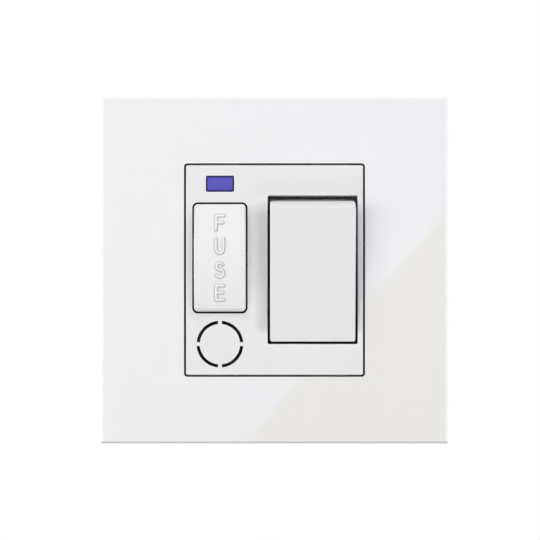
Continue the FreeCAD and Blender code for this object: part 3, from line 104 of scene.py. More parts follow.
class Tree:
    """A node tree, and the one way in which nodes are added to it."""

    def __init__(self, tree):
        self.tree = tree

    def node(self, kind, settings=None, inputs=None, output=0):
        """Adds a node, from its type, its settings and the values or links of its sockets."""
        made = self.tree.nodes.new(kind)
        for name, value in (settings or {}).items():
            setattr(made, name, value)
        self.set(made, inputs or {})
        return Value(self, made.outputs[output])

    def set(self, made, inputs):
        """Fills or links a node's sockets; a list puts several links into one socket."""
        for name, given in inputs.items():
            for value in given if isinstance(given, list) else [given]:
                if isinstance(value, Value):
                    self.tree.links.new(value.socket, made.inputs[name])
                else:
                    made.inputs[name].default_value = value

    def math(self, operation, first, second=0.0):
        return self.node("ShaderNodeMath", {"operation": operation}, {0: first, 1: second})

    def ramp(self, value, start, end, shape="LINEAR"):
        """0 where a value is still before start, and 1 where it is past end."""
        return self.node("ShaderNodeMapRange", {"interpolation_type": shape},
                         {0: value, 1: start, 2: end, 3: 0.0, 4: 1.0})


class Look(Tree):
    """A material with one Principled surface."""

    def __init__(self, name):
        self.material = bpy.data.materials.new(name)
        self.material.use_nodes = True
        super().__init__(self.material.node_tree)
        self.surface = self.tree.nodes["Principled BSDF"]

    def principled(self, **inputs):
        """Sets the surface's sockets; an underscore stands for a space in their names."""
        self.set(self.surface, {name.replace("_", " "): value for name, value in inputs.items()})

    def now(self, name):
        """What the surface has in one of its sockets so far."""
        socket = self.surface.inputs[name]
        return Value(self, socket.links[0].from_socket) if socket.links else socket.default_value

    def along(self, axis):
        """One of the part's own coordinates, in metres."""
        place = self.node("ShaderNodeTexCoord", output="Object")
        return self.node("ShaderNodeSeparateXYZ", {}, {0: place}, output="XYZ".index(axis))

    def rise(self, axis, start, end):
        """0 before one place on an axis and 1 past another, with a straight ramp between them."""
        return self.ramp(self.along(axis), start, end)

    def noise(self, size, detail=2.0, stretch=(1, 1, 1)):
        """Noise from 0 to 1 whose lumps are about size metres across."""
        place = self.node("ShaderNodeTexCoord", output="Object")
        place = self.node("ShaderNodeMapping", {}, {"Vector": place, "Scale": stretch})
        return self.node("ShaderNodeTexNoise", {}, {"Vector": place, "Scale": 1 / size, "Detail": detail})

    def near_edge(self, reach):
        """1 on the edges, falling to 0 at reach metres from them."""
        flat = self.node("ShaderNodeNewGeometry", output="Normal")
        rounded = self.node("ShaderNodeBevel", {"samples": 8}, {"Radius": reach})
        bend = self.node("ShaderNodeVectorMath", {"operation": "DOT_PRODUCT"}, {0: flat, 1: rounded},
                         output="Value")
        return self.ramp(bend, 0.99, 0.9)

    def mix(self, share, first, second):
        """A colour between two; each is a plain colour or another mix."""
        first, second = [c if isinstance(c, Value) else (*c, 1) for c in (first, second)]
        return self.node("ShaderNodeMix", {"data_type": "RGBA"}, {0: share, 6: first, 7: second}, output=2)

    def tint(self, share, colour):
        """Turns the surface to another colour where share is 1."""
        self.principled(Base_Color=self.mix(share, self.now("Base Color"), colour))

    def paint_dull_shade(self, share, grey):
        """Paints dull dark shade on the surface where share is 1."""
        self.tint(share, (grey, grey, grey))
        rough = self.now("Roughness")
        self.principled(Roughness=rough + share * (1.0 - rough))

    def bump(self, height, depth, edge=0.0):
        """Relief of depth metres, on edges that look rounded over edge metres."""
        inputs = {"Height": height, "Distance": depth, "Strength": 1.0}
        if edge:
            inputs["Normal"] = self.node("ShaderNodeBevel", {"samples": 6}, {"Radius": edge})
        return self.node("ShaderNodeBump", {}, inputs)

    def wear(self, *names):
        """Puts the look on CAD nodes."""
        for name in names:
            nodes[name].data.materials.clear()
            nodes[name].data.materials.append(self.material)


def moulded(name, colour, rough, edge=0.1 * MM, grain=0.0004 * MM, rim=0.0):
    """Satin moulding: even colour with a slight mottle, and the fine grain of a spark-eroded tool.

    The edges look rounded over edge metres, and within rim metres of them a painted highlight makes the skin
    paler.
    """
    look = Look(name)
    mottle = look.noise(6 * MM, 3.0)
    darker = [c * 0.992 for c in colour]
    paler = [min(1.0, c * 1.008) for c in colour]
    look.principled(Base_Color=look.mix(mottle, darker, paler), Roughness=rough - 0.02 + 0.04 * mottle,
                    Normal=look.bump(look.noise(0.12 * MM), grain, edge))
    # A painted highlight: the skin is paler near the edges
    if rim:
        look.tint(look.near_edge(rim), [0.1 * c + 0.88 for c in colour])
    return look


def in_duct(look):
    """1 inside the round duct behind the knock-out disc."""
    aside = look.along("X") - DUCT_X
    above = look.along("Z") - DUCT_Z
    return look.math("LESS_THAN", aside * aside + above * above, DUCT_RADIUS ** 2)


housing = moulded("grey_housing", HOUSING_GREY, 0.5, 0.2 * MM, 0.002 * MM)
# Painted shade, dark and dull, down in the duct
housing.paint_dull_shade(in_duct(housing) * housing.rise("Y", DUCT_UNSHADED_FROM, DUCT_SHADED_TO), 0.04)
housing.wear("rear_housing", "cord_clamp_bar")


# Terminals, straps and clips
# Brass: terminals sawn from drawn bar, straps and fuse clips blanked from rolled strip, all left bare.
# The rolling marks run along the strip, and handling has dulled them in patches.

DULL_BRASS = (0.53, 0.33, 0.10)
BRIGHT_BRASS = (0.64, 0.43, 0.15)

brass = Look("brass")
rolled = brass.noise(2 * MM, 3.0, (7, 1, 1))
brass.principled(Base_Color=brass.mix(brass.noise(5 * MM), DULL_BRASS, BRIGHT_BRASS), Metallic=1.0,
                 Roughness=0.22 + 0.14 * rolled, Normal=brass.bump(rolled, 0.002 * MM, 0.08 * MM))
brass.wear(*[row["node"] for row in frame["record"]["subparts"] if row["material_slot"] == "brass"])


# Contact tips
# Silver buttons riveted to the straps and to the see-saws, where the current is made and broken. They are
# a little tarnished where air reaches them.

TARNISHED_SILVER = (0.70, 0.69, 0.66)
CLEAN_SILVER = (0.86, 0.86, 0.85)

silver = Look("silver_tip")
tarnish = silver.noise(0.6 * MM)
silver.principled(Base_Color=silver.mix(tarnish, TARNISHED_SILVER, CLEAN_SILVER), Metallic=1.0,
                  Roughness=0.15 + 0.15 * tarnish)
silver.wear("fixed_contact_tips", "line_moving_tip", "neutral_moving_tip")


# Neon indicator
# A blue tinted lens snapped in from behind the cover, a small bulb behind it, and its resistor on a
# narrow glass-fibre board. The lens is lit only in use; here it shows its own blue.

LENS_BLUES = ((0.076, 0.075, 0.44), (0.080, 0.079, 0.46))
BULB_GREYS = ((0.80, 0.84, 0.86), (0.9, 0.92, 0.93))
BOARD_GREENS = ((0.03, 0.13, 0.045), (0.05, 0.18, 0.07))
RESISTOR_BROWNS = ((0.42, 0.26, 0.13), (0.52, 0.33, 0.18))
RESISTOR_MIDDLE = -1.5 * MM
# Where each coloured ring starts and ends along X, from the resistor's middle
RINGS = (
    (-3.3 * MM, -2.8 * MM, (0.55, 0.28, 0.02)),
    (-2.3 * MM, -1.8 * MM, (0.20, 0.03, 0.25)),
    (-1.3 * MM, -0.8 * MM, (0.55, 0.40, 0.02)),
    (0.9 * MM, 1.4 * MM, (0.45, 0.30, 0.08)),
)

lens = Look("blue_lens")
cloud = lens.noise(2 * MM, 1.0)
lens.principled(Base_Color=lens.mix(cloud, *LENS_BLUES), Roughness=0.16 + 0.03 * cloud,
                Normal=lens.bump(cloud, 0.0005 * MM, 0.1 * MM))
lens.wear("neon_lens")

bulb = Look("lamp_glass")
swirl = bulb.noise(1.5 * MM)
bulb.principled(Base_Color=bulb.mix(swirl, *BULB_GREYS), Roughness=0.05 + 0.05 * swirl, IOR=1.5,
                Transmission_Weight=0.6)
bulb.wear("neon_lamp")

board = Look("circuit_board")
weave = board.noise(0.4 * MM, 2.0, (1, 1, 6))
board.principled(Base_Color=board.mix(weave, *BOARD_GREENS), Roughness=0.35 + 0.1 * weave,
                 Normal=board.bump(weave, 0.004 * MM))
board.wear("indicator_board")

resistor = Look("resistor_body")
lacquer = resistor.noise(0.8 * MM)
resistor.principled(Base_Color=resistor.mix(lacquer, *RESISTOR_BROWNS), Roughness=0.4 + 0.1 * lacquer)
for start, end, colour in RINGS:
    resistor.tint(resistor.along("X").inside(RESISTOR_MIDDLE + start, RESISTOR_MIDDLE + end), colour)
resistor.wear("neon_resistor")


# Mounting grid, springs and screw heads
# Pressed and coiled steel, zinc plated: bright, with a drawn grain and cloudy patches of passivation.
# The front of the grid, seen through the gap round the module, is painted dark and dull, a painted shade.

GRAIN_DARK = (0.44, 0.45, 0.47)
GRAIN_BRIGHT = (0.58, 0.59, 0.60)
PASSIVATED = (0.50, 0.49, 0.44)
# Boxes on the face are given as left, right, bottom and top
GAP_SHADE_OUTSIDE = (-25.2 * MM, 25.2 * MM, -35.2 * MM, 35.2 * MM)
GAP_SHADE_INSIDE = (-23.8 * MM, 23.8 * MM, -33.8 * MM, 33.8 * MM)


def plated(name):
    """Bright zinc over steel."""
    look = Look(name)
    grain = look.noise(1.2 * MM, 3.0, (1, 1, 9))
    cloud = look.noise(7 * MM, 2.0)
    look.principled(Base_Color=look.mix(grain, GRAIN_DARK, GRAIN_BRIGHT), Metallic=1.0,
                    Roughness=0.26 + 0.1 * grain + 0.14 * cloud,
                    Normal=look.bump(grain, 0.003 * MM, 0.1 * MM))
    look.tint(cloud * 0.5, PASSIVATED)
    return look


def in_box(look, left, right, bottom, top):
    """1 inside a box drawn on the face."""
    return look.along("X").inside(left, right) * look.along("Z").inside(bottom, top)


steel = plated("zinc_steel")
steel.wear("fixing_screw_left", "fixing_screw_right", "assembly_screws", "cord_clamp_screws",
           "line_plunger_spring", "neutral_plunger_spring")

grid = plated("grid_steel")
# Painted shade, dark and dull, on the grid's front behind the gap round the module
below_gap = in_box(grid, *GAP_SHADE_OUTSIDE) * (1.0 - in_box(grid, *GAP_SHADE_INSIDE))
grid.paint_dull_shade(below_gap * grid.rise("Y", -1.1 * MM, -1.3 * MM), 0.02)
grid.wear("mounting_grid")


# Module cover
# White urea moulding, screwed to the housing through the grid. Its edges are crisp, with a painted pale
# highlight. The soft shade that the photograph has above and beside the rocker and round the carrier is part
# of its colour, and painted shade, dark and dull, down in the gaps keeps them as dark as they are there.

COVER_WHITE = (0.80, 0.80, 0.805)
PAINTED_LIGHT_WHITE = (0.97, 0.97, 0.97)
SHADE_GREY = (0.44, 0.44, 0.45)
BESIDE_ROCKER = (-3.3 * MM, 22.6 * MM, -15.0 * MM, 14.5 * MM)
BESIDE_CARRIER = (-21.8 * MM, -7.9 * MM, -11.7 * MM, 14.0 * MM)
ROCKER_WELL = (-3.3 * MM, 23.4 * MM, -21.4 * MM, 21.4 * MM)
CARRIER_WELL = (-22.9 * MM, -6.4 * MM, -12.6 * MM, 19.2 * MM)
WELL_TOP_LIP = (-1.7 * MM, 22.45 * MM, 19.5 * MM, 20.22 * MM)


def near_box(look, box, reach):
    """1 inside a box drawn on the face, falling to 0 at reach metres outside it."""
    left, right, bottom, top = box
    across, up = look.along("X"), look.along("Z")
    aside = (left - across).larger(across - right).larger(0.0)
    above = (bottom - up).larger(up - top).larger(0.0)
    return look.ramp(look.math("SQRT", aside * aside + above * above), reach, 0.0, "SMOOTHSTEP")


cover = moulded("white_cover", COVER_WHITE, 0.42, rim=0.6 * MM)
above_rocker = (cover.rise("X", -8.0 * MM, 0.0) * cover.rise("Z", 27.0 * MM, 20.0 * MM)
                * cover.along("Z").inside(19.9 * MM, 28.0 * MM))
cover.tint(near_box(cover, BESIDE_ROCKER, 2.9 * MM) * 0.44 + near_box(cover, BESIDE_CARRIER, 2.4 * MM) * 0.22
           + above_rocker * 0.2, SHADE_GREY)
rocker_well = in_box(cover, *ROCKER_WELL)
behind_face = cover.rise("Y", -7.9 * MM, -7.3 * MM)
# As in the photograph, the upper end of the rocker's well is painted bright, a painted light, and is kept
# free of painted shade but for its lip
lit_well_end = rocker_well * cover.rise("Z", 16.5 * MM, 18.5 * MM) * cover.rise("X", -4.5 * MM, -0.5 * MM)
lit_well_end = lit_well_end * cover.rise("X", 24.5 * MM, 20.5 * MM)
cover.tint(lit_well_end * behind_face, PAINTED_LIGHT_WHITE)
lip = in_box(cover, *WELL_TOP_LIP) * cover.rise("Y", -6.0 * MM, -7.0 * MM)
# Painted shade, dark and dull, lies on the lip and elsewhere down in both wells and the duct, and on the
# cover's outside just behind its face
in_gaps = rocker_well.larger(in_box(cover, *CARRIER_WELL)).larger(in_duct(cover))
in_gaps = in_gaps.larger(cover.rise("Y", -6.2 * MM, -6.9 * MM))
cover.paint_dull_shade((behind_face * in_gaps * (1.0 - lit_well_end)).larger(lip), 0.05)
cover.wear("module_cover")


# Rocker and plungers
# The rocker is the cover's white with a smoother face, a painted highlight on the raised end as in the
# photograph, and painted shade, dark and dull, at the pins that it turns on. The plungers that press on the
# see-saws are nylon.

ROCKER_WHITE = (0.80, 0.797, 0.802)
RAISED_END_HIGHLIGHT = (0.97, 0.97, 0.975)
NYLON = (0.52, 0.52, 0.48)

rocker = moulded("white_rocker", ROCKER_WHITE, 0.36, rim=0.5 * MM)
# Painted highlight on the raised upper end
rocker.tint(rocker.along("Z").inside(17.15 * MM, 22.0 * MM), RAISED_END_HIGHLIGHT)
# Painted shade, dark and dull, down at the pins that the rocker turns on
rocker.paint_dull_shade(rocker.along("Z").inside(-3.0 * MM, 3.0 * MM) * rocker.rise("Y", -7.4 * MM, -6.6 * MM), 0.05)
rocker.wear("rocker")
moulded("plunger_nylon", NYLON, 0.35).wear("line_plunger", "neutral_plunger")


# Fuse
# A sand-filled tube of unglazed cream ceramic between two pressed brass caps, held in the carrier's cradles
# and gripped by the clips. The tube is finely speckled.

CREAM_SPECK = (0.66, 0.62, 0.54)
CREAM = (0.74, 0.71, 0.64)

ceramic = Look("fuse_ceramic")
speckle = ceramic.noise(0.5 * MM, 4.0)
ceramic.principled(Base_Color=ceramic.mix(speckle, CREAM_SPECK, CREAM), Roughness=0.5 + 0.1 * speckle,
                   Normal=ceramic.bump(speckle, 0.004 * MM))
ceramic.wear("fuse_tube")


# Fuse carrier and its word
# White moulding with a crowned head, shaded along its lower edge as in the photograph. FUSE stands on it in
# raised strokes with round ends; each letter is drawn in a box 1 wide and 1 high, and a fine skin over its
# strokes is laid on the head.

CARRIER_WHITE = (0.835, 0.835, 0.842)
CARRIER_ROUGH = 0.34
LOWER_SHADE = (0.42, 0.42, 0.42)
LETTER_WIDE = 2.62 * MM
LETTER_HIGH = 4.38 * MM
LETTER_MIDDLE = -14.77 * MM
LETTER_TOPS = (14.95 * MM, 8.67 * MM, 2.26 * MM, -3.96 * MM)
STROKE_HALF = 0.28 * MM
STROKE_PROUD = 0.38 * MM
FOOT = 0.8 * MM  # how far the skin runs on beyond a stroke
FOOT_PROUD = 0.012 * MM
SKIN_DEEP = 0.1 * MM
FINE = 0.07 * MM
FOOT_SHADE_GREY = (0.40, 0.40, 0.41)

carrier = moulded("white_carrier", CARRIER_WHITE, CARRIER_ROUGH, rim=0.5 * MM)
carrier.tint(carrier.rise("Z", -10.1 * MM, -11.0 * MM) * 0.4, LOWER_SHADE)
carrier.wear("fuse_carrier")


def arc(across, up, wide, high, start, end, steps=16):
    """Points on part of an ellipse, by degrees counter-clockwise from the right."""
    turns = [math.radians(start + (end - start) * i / steps) for i in range(steps + 1)]
    return [(across + wide * math.cos(t), up + high * math.sin(t)) for t in turns]


HALF_BOW = 0.5 * LETTER_WIDE / LETTER_HIGH
LETTERS = (
    [[(1, 1), (0, 1), (0, 0)], [(0, 0.52), (0.88, 0.52)]],
    [[(0, 1)] + arc(0.5, HALF_BOW, 0.5, HALF_BOW, 180, 360) + [(1, 1)]],
    [arc(0.5, 0.745, 0.43, 0.255, 25, 270) + arc(0.5, 0.245, 0.5, 0.245, 90, -155)],
    [[(1, 1), (0, 1), (0, 0), (1, 0)], [(0, 0.52), (0.88, 0.52)]],
)


def from_line(x, z, first, second):
    """How far a spot is from a straight piece of a stroke, and the way from the piece to the spot."""
    a, b = second[0] - first[0], second[1] - first[1]
    share = max(0.0, min(1.0, ((x - first[0]) * a + (z - first[1]) * b) / (a * a + b * b)))
    right, up = x - first[0] - share * a, z - first[1] - share * b
    return math.hypot(right, up), right, up


def height(off):
    """How proud the skin stands at a distance from a stroke's middle line."""
    if off < STROKE_HALF:
        return STROKE_PROUD * math.sqrt(1 - (off / STROKE_HALF) ** 2) + FOOT_PROUD
    return FOOT_PROUD * (1 - (off - STROKE_HALF) / FOOT)


def painted_foot_shade(off, right, up):
    """How dark the painted shade at the foot of a stroke is: most close to it, and more below it and to its
    right.
    """
    rise = max(0.0, min(1.0, (off / STROKE_HALF - 0.6) / 0.4))
    fall = max(0.0, min(1.0, (STROKE_HALF + FOOT - off) / FOOT)) ** 2.5
    below = (0.7 * right - 0.7 * up) / max(off, 0.01 * MM)
    return rise * fall * (0.8 + 0.2 * below)


def placed(name, data):
    """An object in the scene that holds a mesh, a light or a camera."""
    thing = bpy.data.objects.new(name, data)
    bpy.context.scene.collection.objects.link(thing)
    return thing


solid = nodes["fuse_carrier"].data
head = BVHTree.FromPolygons([v.co for v in solid.vertices], [p.vertices for p in solid.polygons])
points, faces, foot_shades, on_stroke = [], [], [], []


def raise_letter(top, letter):
    """Adds a letter's closed skin to the lists above."""
    middle = top - 0.5 * LETTER_HIGH
    wide, high = LETTER_WIDE - 2 * STROKE_HALF, LETTER_HIGH - 2 * STROKE_HALF
    pieces = []
    for line in letter:
        spots = [(LETTER_MIDDLE + (a - 0.5) * wide, middle + (b - 0.5) * high) for a, b in line]
        pieces += [pair for pair in zip(spots, spots[1:]) if math.dist(*pair) > 1e-6 * MM]
    columns = int((LETTER_WIDE / 2 + FOOT) / FINE) + 2
    rows = int((LETTER_HIGH / 2 + FOOT) / FINE) + 2
    spread = {(i, k): min(from_line(LETTER_MIDDLE + i * FINE, middle + k * FINE, *piece) for piece in pieces)
              for i in range(-columns, columns + 1) for k in range(-rows, rows + 1)}
    front, back, edges = {}, {}, {}
    for i in range(-columns, columns):
        for k in range(-rows, rows):
            corners = ((i, k), (i + 1, k), (i + 1, k + 1), (i, k + 1))
            if max(spread[spot][0] for spot in corners) >= STROKE_HALF + FOOT:
                continue
            for spot in corners:
                if spot in front:
                    continue
                x, z = LETTER_MIDDLE + spot[0] * FINE, middle + spot[1] * FINE
                face_at = head.ray_cast(Vector((x, -0.1, z)), Vector((0, 1, 0)))[0].y
                off = spread[spot][0]
                front[spot] = len(points)
                back[spot] = front[spot] + 1
                points.extend([(x, face_at - height(off), z), (x, face_at + SKIN_DEEP, z)])
                foot_shades.extend([painted_foot_shade(*spread[spot]), 0.0])
                on_stroke.extend([1.0 if off < STROKE_HALF else 0.0] * 2)
            faces.append([front[spot] for spot in corners])
            faces.append([back[spot] for spot in reversed(corners)])
            edges.update({pair: True for pair in zip(corners, corners[1:] + corners[:1])})
    for first, second in edges:
        if (second, first) not in edges:
            faces.append([front[second], front[first], back[first], back[second]])


for top, letter in zip(LETTER_TOPS, LETTERS):
    raise_letter(top, letter)

lettering = bpy.data.meshes.new("fuse_letters")
lettering.from_pydata(points, [], faces)
lettering.attributes.new("painted_foot_shade", "FLOAT", "POINT").data.foreach_set("value", foot_shades)
lettering.attributes.new("stroke", "FLOAT", "POINT").data.foreach_set("value", on_stroke)
lettering.shade_smooth()

relief = Look("raised_letters")
# The strokes and their foot are painted lighter than the carrier, a painted highlight, and the foot is
# painted grey, a painted shade that is darker below and to the right
foot_white, dim_white, bright_white = [[c * gain for c in CARRIER_WHITE] for gain in (1.03, 1.11, 1.13)]
stroke = relief.node("ShaderNodeAttribute", {"attribute_name": "stroke"}, output="Fac")
lit_stroke_white = relief.mix(relief.noise(6 * MM, 3.0), dim_white, bright_white)
relief.principled(Base_Color=relief.mix(stroke, foot_white, lit_stroke_white), Roughness=CARRIER_ROUGH)
relief.tint(relief.node("ShaderNodeAttribute", {"attribute_name": "painted_foot_shade"}, output="Fac"), FOOT_SHADE_GREY)
lettering.materials.append(relief.material)
word = placed("fuse_letters", lettering)
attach(word, "fuse_drawer")


# Fixing screws
# M3.5 machine screws with a pan head and a rolled thread. The CAD screw's head and neck are kept, and its
# plain shank gives way to a core with the thread wound round it.

THREAD_START = 0.28 * MM
THREAD_END = 22.0 * MM
THREAD_PITCH = 0.6 * MM
THREAD_TOP = 1.75 * MM
THREAD_ROOT = 1.42 * MM
THREAD_MARGIN = 0.42  # how far the ridge stops from each end of the shank, in pitches
WELD = 0.001 * MM


class Plan(Tree):
    """A Geometry Nodes tree with a named input for each of its sizes."""

    def __init__(self, name, **sizes):
        super().__init__(bpy.data.node_groups.new(name, "GeometryNodeTree"))
        sockets = self.tree.interface
        for side in ("INPUT", "OUTPUT"):
            sockets.new_socket("Geometry", in_out=side, socket_type="NodeSocketGeometry")
        self.sizes = {}
        for label, size in sizes.items():
            socket = sockets.new_socket(label, in_out="INPUT", socket_type="NodeSocketFloat")
            self.sizes[socket.identifier] = size
        self.given = self.tree.nodes.new("NodeGroupInput")

    def size(self, label):
        return Value(self, self.given.outputs[label])

    def lifted(self, geometry, height):
        """Geometry moved along Z by a height that the tree works out."""
        way = self.node("ShaderNodeCombineXYZ", {}, {"Z": height})
        return self.node("GeometryNodeTransform", {}, {"Geometry": geometry, "Translation": way})

    def mesh(self, result, look):
        """Runs the tree and returns what it makes as a plain mesh."""
        result = self.node("GeometryNodeRealizeInstances", {}, {"Geometry": result})
        result = self.node("GeometryNodeSetMaterial", {}, {"Geometry": result, "Material": look.material})
        self.set(self.tree.nodes.new("NodeGroupOutput"), {"Geometry": result})
        base = placed("base", bpy.data.meshes.new("base"))
        modifier = base.modifiers.new("plan", "NODES")
        modifier.node_group = self.tree
        for identifier, size in self.sizes.items():
            modifier[identifier] = size
        bpy.context.view_layer.update()
        made = bpy.data.meshes.new_from_object(base.evaluated_get(bpy.context.evaluated_depsgraph_get()))
        base.modifiers.remove(modifier)
        bpy.data.objects.remove(base)
        return made


def thread_screw(name, shank):
    """Puts a threaded shank in place of a CAD screw's plain one."""
    screw = bmesh.new()
    screw.from_mesh(nodes[name].data)
    bmesh.ops.remove_doubles(screw, verts=screw.verts, dist=WELD)
    bmesh.ops.bisect_plane(screw, geom=screw.verts[:] + screw.edges[:] + screw.faces[:],
                           plane_co=(0, THREAD_START, 0), plane_no=(0, 1, 0), clear_outer=True)
    bmesh.ops.holes_fill(screw, edges=[e for e in screw.edges if e.is_boundary])
    bmesh.ops.recalc_face_normals(screw, faces=screw.faces)
    sides = [v.co.x for v in screw.verts]
    own_shank = shank.copy()
    own_shank.transform(Matrix.Translation((0.5 * (min(sides) + max(sides)), 0, 0)))
    screw.from_mesh(own_shank)
    whole = bpy.data.meshes.new(name.replace("fixing", "threaded"))
    screw.to_mesh(whole)
    screw.free()
    bpy.data.meshes.remove(own_shank)
    whole.materials.append(steel.material)
    made = placed(whole.name, whole)
    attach(made, "module")
    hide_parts(name)


thread = Plan("screw_thread", Start=THREAD_START, Length=THREAD_END - THREAD_START, Pitch=THREAD_PITCH,
              Top=THREAD_TOP, Root=THREAD_ROOT)
margin = thread.size("Pitch") * THREAD_MARGIN
ridge_long = thread.size("Length") - 2 * margin
helix = thread.node("GeometryNodeCurveSpiral", {}, {
    "Resolution": 18, "Rotations": ridge_long / thread.size("Pitch"), "Height": ridge_long,
    "Start Radius": thread.size("Root"), "End Radius": thread.size("Root")})
helix = thread.node("GeometryNodeSetCurveNormal", {"mode": "Z_UP"}, {"Curve": helix})
section = thread.node("GeometryNodeCurvePrimitiveCircle", {"mode": "RADIUS"},
                      {"Resolution": 3, "Radius": thread.size("Top") - thread.size("Root")})
ridge = thread.node("GeometryNodeCurveToMesh", {}, {
    "Curve": helix, "Profile Curve": section, "Fill Caps": True})
core = thread.node("GeometryNodeMeshCylinder", {"fill_type": "NGON"}, {
    "Vertices": 24, "Radius": thread.size("Root"), "Depth": thread.size("Length")})
upright = thread.node("GeometryNodeJoinGeometry", {}, {"Geometry": [
    thread.lifted(core, thread.size("Start") + 0.5 * thread.size("Length")),
    thread.lifted(ridge, thread.size("Start") + margin)]})
lying = thread.node("GeometryNodeTransform", {}, {"Geometry": upright, "Rotation": (-math.pi / 2, 0, 0)})
threaded_shank = thread.mesh(lying, steel)
for name in ("fixing_screw_left", "fixing_screw_right"):
    thread_screw(name, threaded_shank)
bpy.data.meshes.remove(threaded_shank)


# Fascia
# Float glass, back painted white, with polished bevels; it is bonded to a moulded frame whose arms clip
# over the grid's posts. The face is mirror-like with the faintest ripple, and its colour holds the soft
# shade that the photograph has to the right of the rocker. The edges and the side and top bevels carry a
# painted highlight, and the lower bevel painted shade.

FRAME_WHITE = (0.76, 0.76, 0.76)
PAINT_WHITES = ((0.826, 0.826, 0.840), (0.830, 0.830, 0.845))
EDGE_HIGHLIGHT_WHITE = (0.97, 0.97, 0.97)
BEVEL_HIGHLIGHT = (0.98, 0.98, 0.97)
LOWER_BEVEL_SHADE = (0.5, 0.5, 0.48)
BEVEL_FROM = 46.3 * MM
BEVEL_TO = 46.5 * MM
WINDOW = (-24.6 * MM, 24.6 * MM, -34.6 * MM, 34.6 * MM)
FACE_SHADE = (0.45, 0.45, 0.46)

moulded("white_frame", FRAME_WHITE, 0.45).wear("fascia_frame")

glass = Look("white_glass")
ripple = glass.noise(9 * MM, 1.0)
glass.principled(Base_Color=glass.mix(glass.noise(14 * MM), *PAINT_WHITES), Roughness=0.01 + 0.01 * ripple,
                 IOR=1.85, Normal=glass.bump(ripple, 0.00002 * MM))
# Painted highlight near the edges and on the side and top bevels; painted shade on the lower bevel
glass.tint(glass.near_edge(0.6 * MM), EDGE_HIGHLIGHT_WHITE)
glass.tint(glass.rise("X", BEVEL_FROM, BEVEL_TO) + glass.rise("X", -BEVEL_FROM, -BEVEL_TO)
           + glass.rise("Z", BEVEL_FROM, BEVEL_TO), BEVEL_HIGHLIGHT)
glass.tint(glass.rise("Z", -BEVEL_FROM, -BEVEL_TO) * 0.6, LOWER_BEVEL_SHADE)
# The shade starts sharply at the module's edge and fades out to the right, above and below
shaded = glass.rise("X", 32.0 * MM, 24.0 * MM) * glass.along("X").inside(24.0 * MM, 33.0 * MM)
shaded = shaded * glass.rise("Z", 20.0 * MM, 10.0 * MM) * glass.rise("Z", -24.0 * MM, -12.0 * MM)
glass.tint(shaded * 0.16, FACE_SHADE)
# Painted shade, dark and dull, lies on the window's walls, and none on the face in front of them
glass.paint_dull_shade(glass.rise("Y", -7.98 * MM, -7.88 * MM) * in_box(glass, *WINDOW), 0.05)
glass.wear("glass_plate")


# Camera
# The photograph looks straight at the glass, from half a metre in front of it and a little to the left of
# its middle, through a long lens.

camera = placed("camera", bpy.data.cameras.new("camera"))
camera.location = (-1.22 * MM, -508 * MM, 0.02 * MM)
camera.rotation_euler = (math.pi / 2, 0, 0)
camera.data.sensor_width = 36
camera.data.lens = 123.0
camera.data.clip_start = 0.01
camera.data.clip_end = 50
bpy.context.scene.camera = camera


# Studio
# A pale floor, a warm and a cool soft light at the sides, one above, dimmer ones behind for the back, and a
# tan card behind the camera. Only the polished glass reflects the card, where the photograph shows its edge.

FLOOR = -0.25
FLOOR_RADIUS = 1.2
FLOOR_GREYS = ((0.65, 0.65, 0.65), (0.67, 0.67, 0.67))
FLOOR_GLOW = (0.6, 0.6, 0.6)
CARD_TANS = ((0.72, 0.55, 0.05), (0.74, 0.57, 0.06))
CARD = -0.608
CARD_CORNERS = ((0.1037, 0.0342), (-0.0155, -0.1029), (-0.0155, -0.6), (0.6, -0.6), (0.6, 0.6048))
WHITE = (1, 1, 1, 1)


def stage_mesh(name, corners, look):
    """A flat piece of the studio."""
    made = bpy.data.meshes.new(name)
    made.from_pydata(corners, [], [list(range(len(corners)))])
    made.materials.append(look.material)
    thing = placed(name, made)
    return thing


def soft_light(name, place, size, power, colour):
    """A square light that faces the middle of the plate and doesn't show in the glass."""
    light = placed(name, bpy.data.lights.new(name, "AREA"))
    light.data.shape = "SQUARE"
    light.data.size = size
    light.data.energy = power
    light.data.color = colour
    light.location = place
    light.rotation_euler = (-Vector(place)).to_track_quat("-Z", "Y").to_euler()
    light.visible_glossy = False


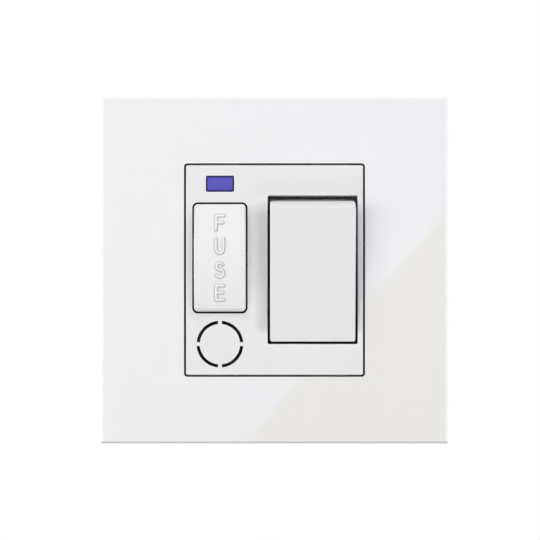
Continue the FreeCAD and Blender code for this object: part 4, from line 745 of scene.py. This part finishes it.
# The floor fades to white with the square of the distance from the object
floor_look = Look("floor")
across, away = floor_look.along("X"), floor_look.along("Y")
far = floor_look.ramp(across * across + away * away, 0.12, 1.0)
floor_look.principled(Base_Color=floor_look.mix(floor_look.noise(0.3, 1.0), *FLOOR_GREYS), Roughness=0.9,
                      Emission_Color=floor_look.mix(far, (0, 0, 0), FLOOR_GLOW), Emission_Strength=1.0)
turns = [math.tau * i / 48 for i in range(48)]
rim = [(FLOOR_RADIUS * math.cos(t), FLOOR_RADIUS * math.sin(t), FLOOR) for t in turns]
stage_mesh("floor", rim, floor_look)

card_look = Look("tan_card")
card_look.principled(Base_Color=(0, 0, 0, 1), Roughness=1.0, Emission_Strength=1.0,
                     Emission_Color=card_look.mix(card_look.noise(0.05, 1.0), *CARD_TANS))
card = stage_mesh("tan_card", [(x, CARD, z) for x, z in CARD_CORNERS], card_look)
card.visible_camera = False
card.visible_diffuse = False
card.visible_shadow = False

soft_light("left_light", (-0.72, -0.54, 0.06), 0.6, 4.95, (1.0, 0.968, 0.915))
soft_light("right_light", (0.72, -0.54, 0.06), 0.6, 4.45, (0.885, 0.925, 1.0))
soft_light("top_light", (0.0, -0.35, 0.85), 0.6, 4.0, (1.0, 1.0, 1.0))
soft_light("left_rear_light", (-0.7, 0.6, 0.4), 0.9, 4.0, (1.0, 0.98, 0.95))
soft_light("right_rear_light", (0.7, 0.6, 0.4), 0.9, 4.0, (0.95, 0.98, 1.0))

# The world lights the object a little, and is white where the camera, a gloss or a glass shows it
world = bpy.data.worlds.new("studio")
world.use_nodes = True
bpy.context.scene.world = world
air = Tree(world.node_tree)
seen = air.node("ShaderNodeLightPath", output="Is Camera Ray")
for ray in ("Is Glossy Ray", "Is Transmission Ray"):
    seen = seen.larger(air.node("ShaderNodeLightPath", output=ray))
fill = air.node("ShaderNodeBackground", {}, {"Color": WHITE, "Strength": 0.015})
white = air.node("ShaderNodeBackground", {}, {"Color": WHITE, "Strength": 1.0})
sky = air.node("ShaderNodeMixShader", {}, {0: seen, 1: fill, 2: white})
air.set(air.tree.nodes["World Output"], {"Surface": sky})
bpy.context.scene.view_settings.view_transform = "Standard"
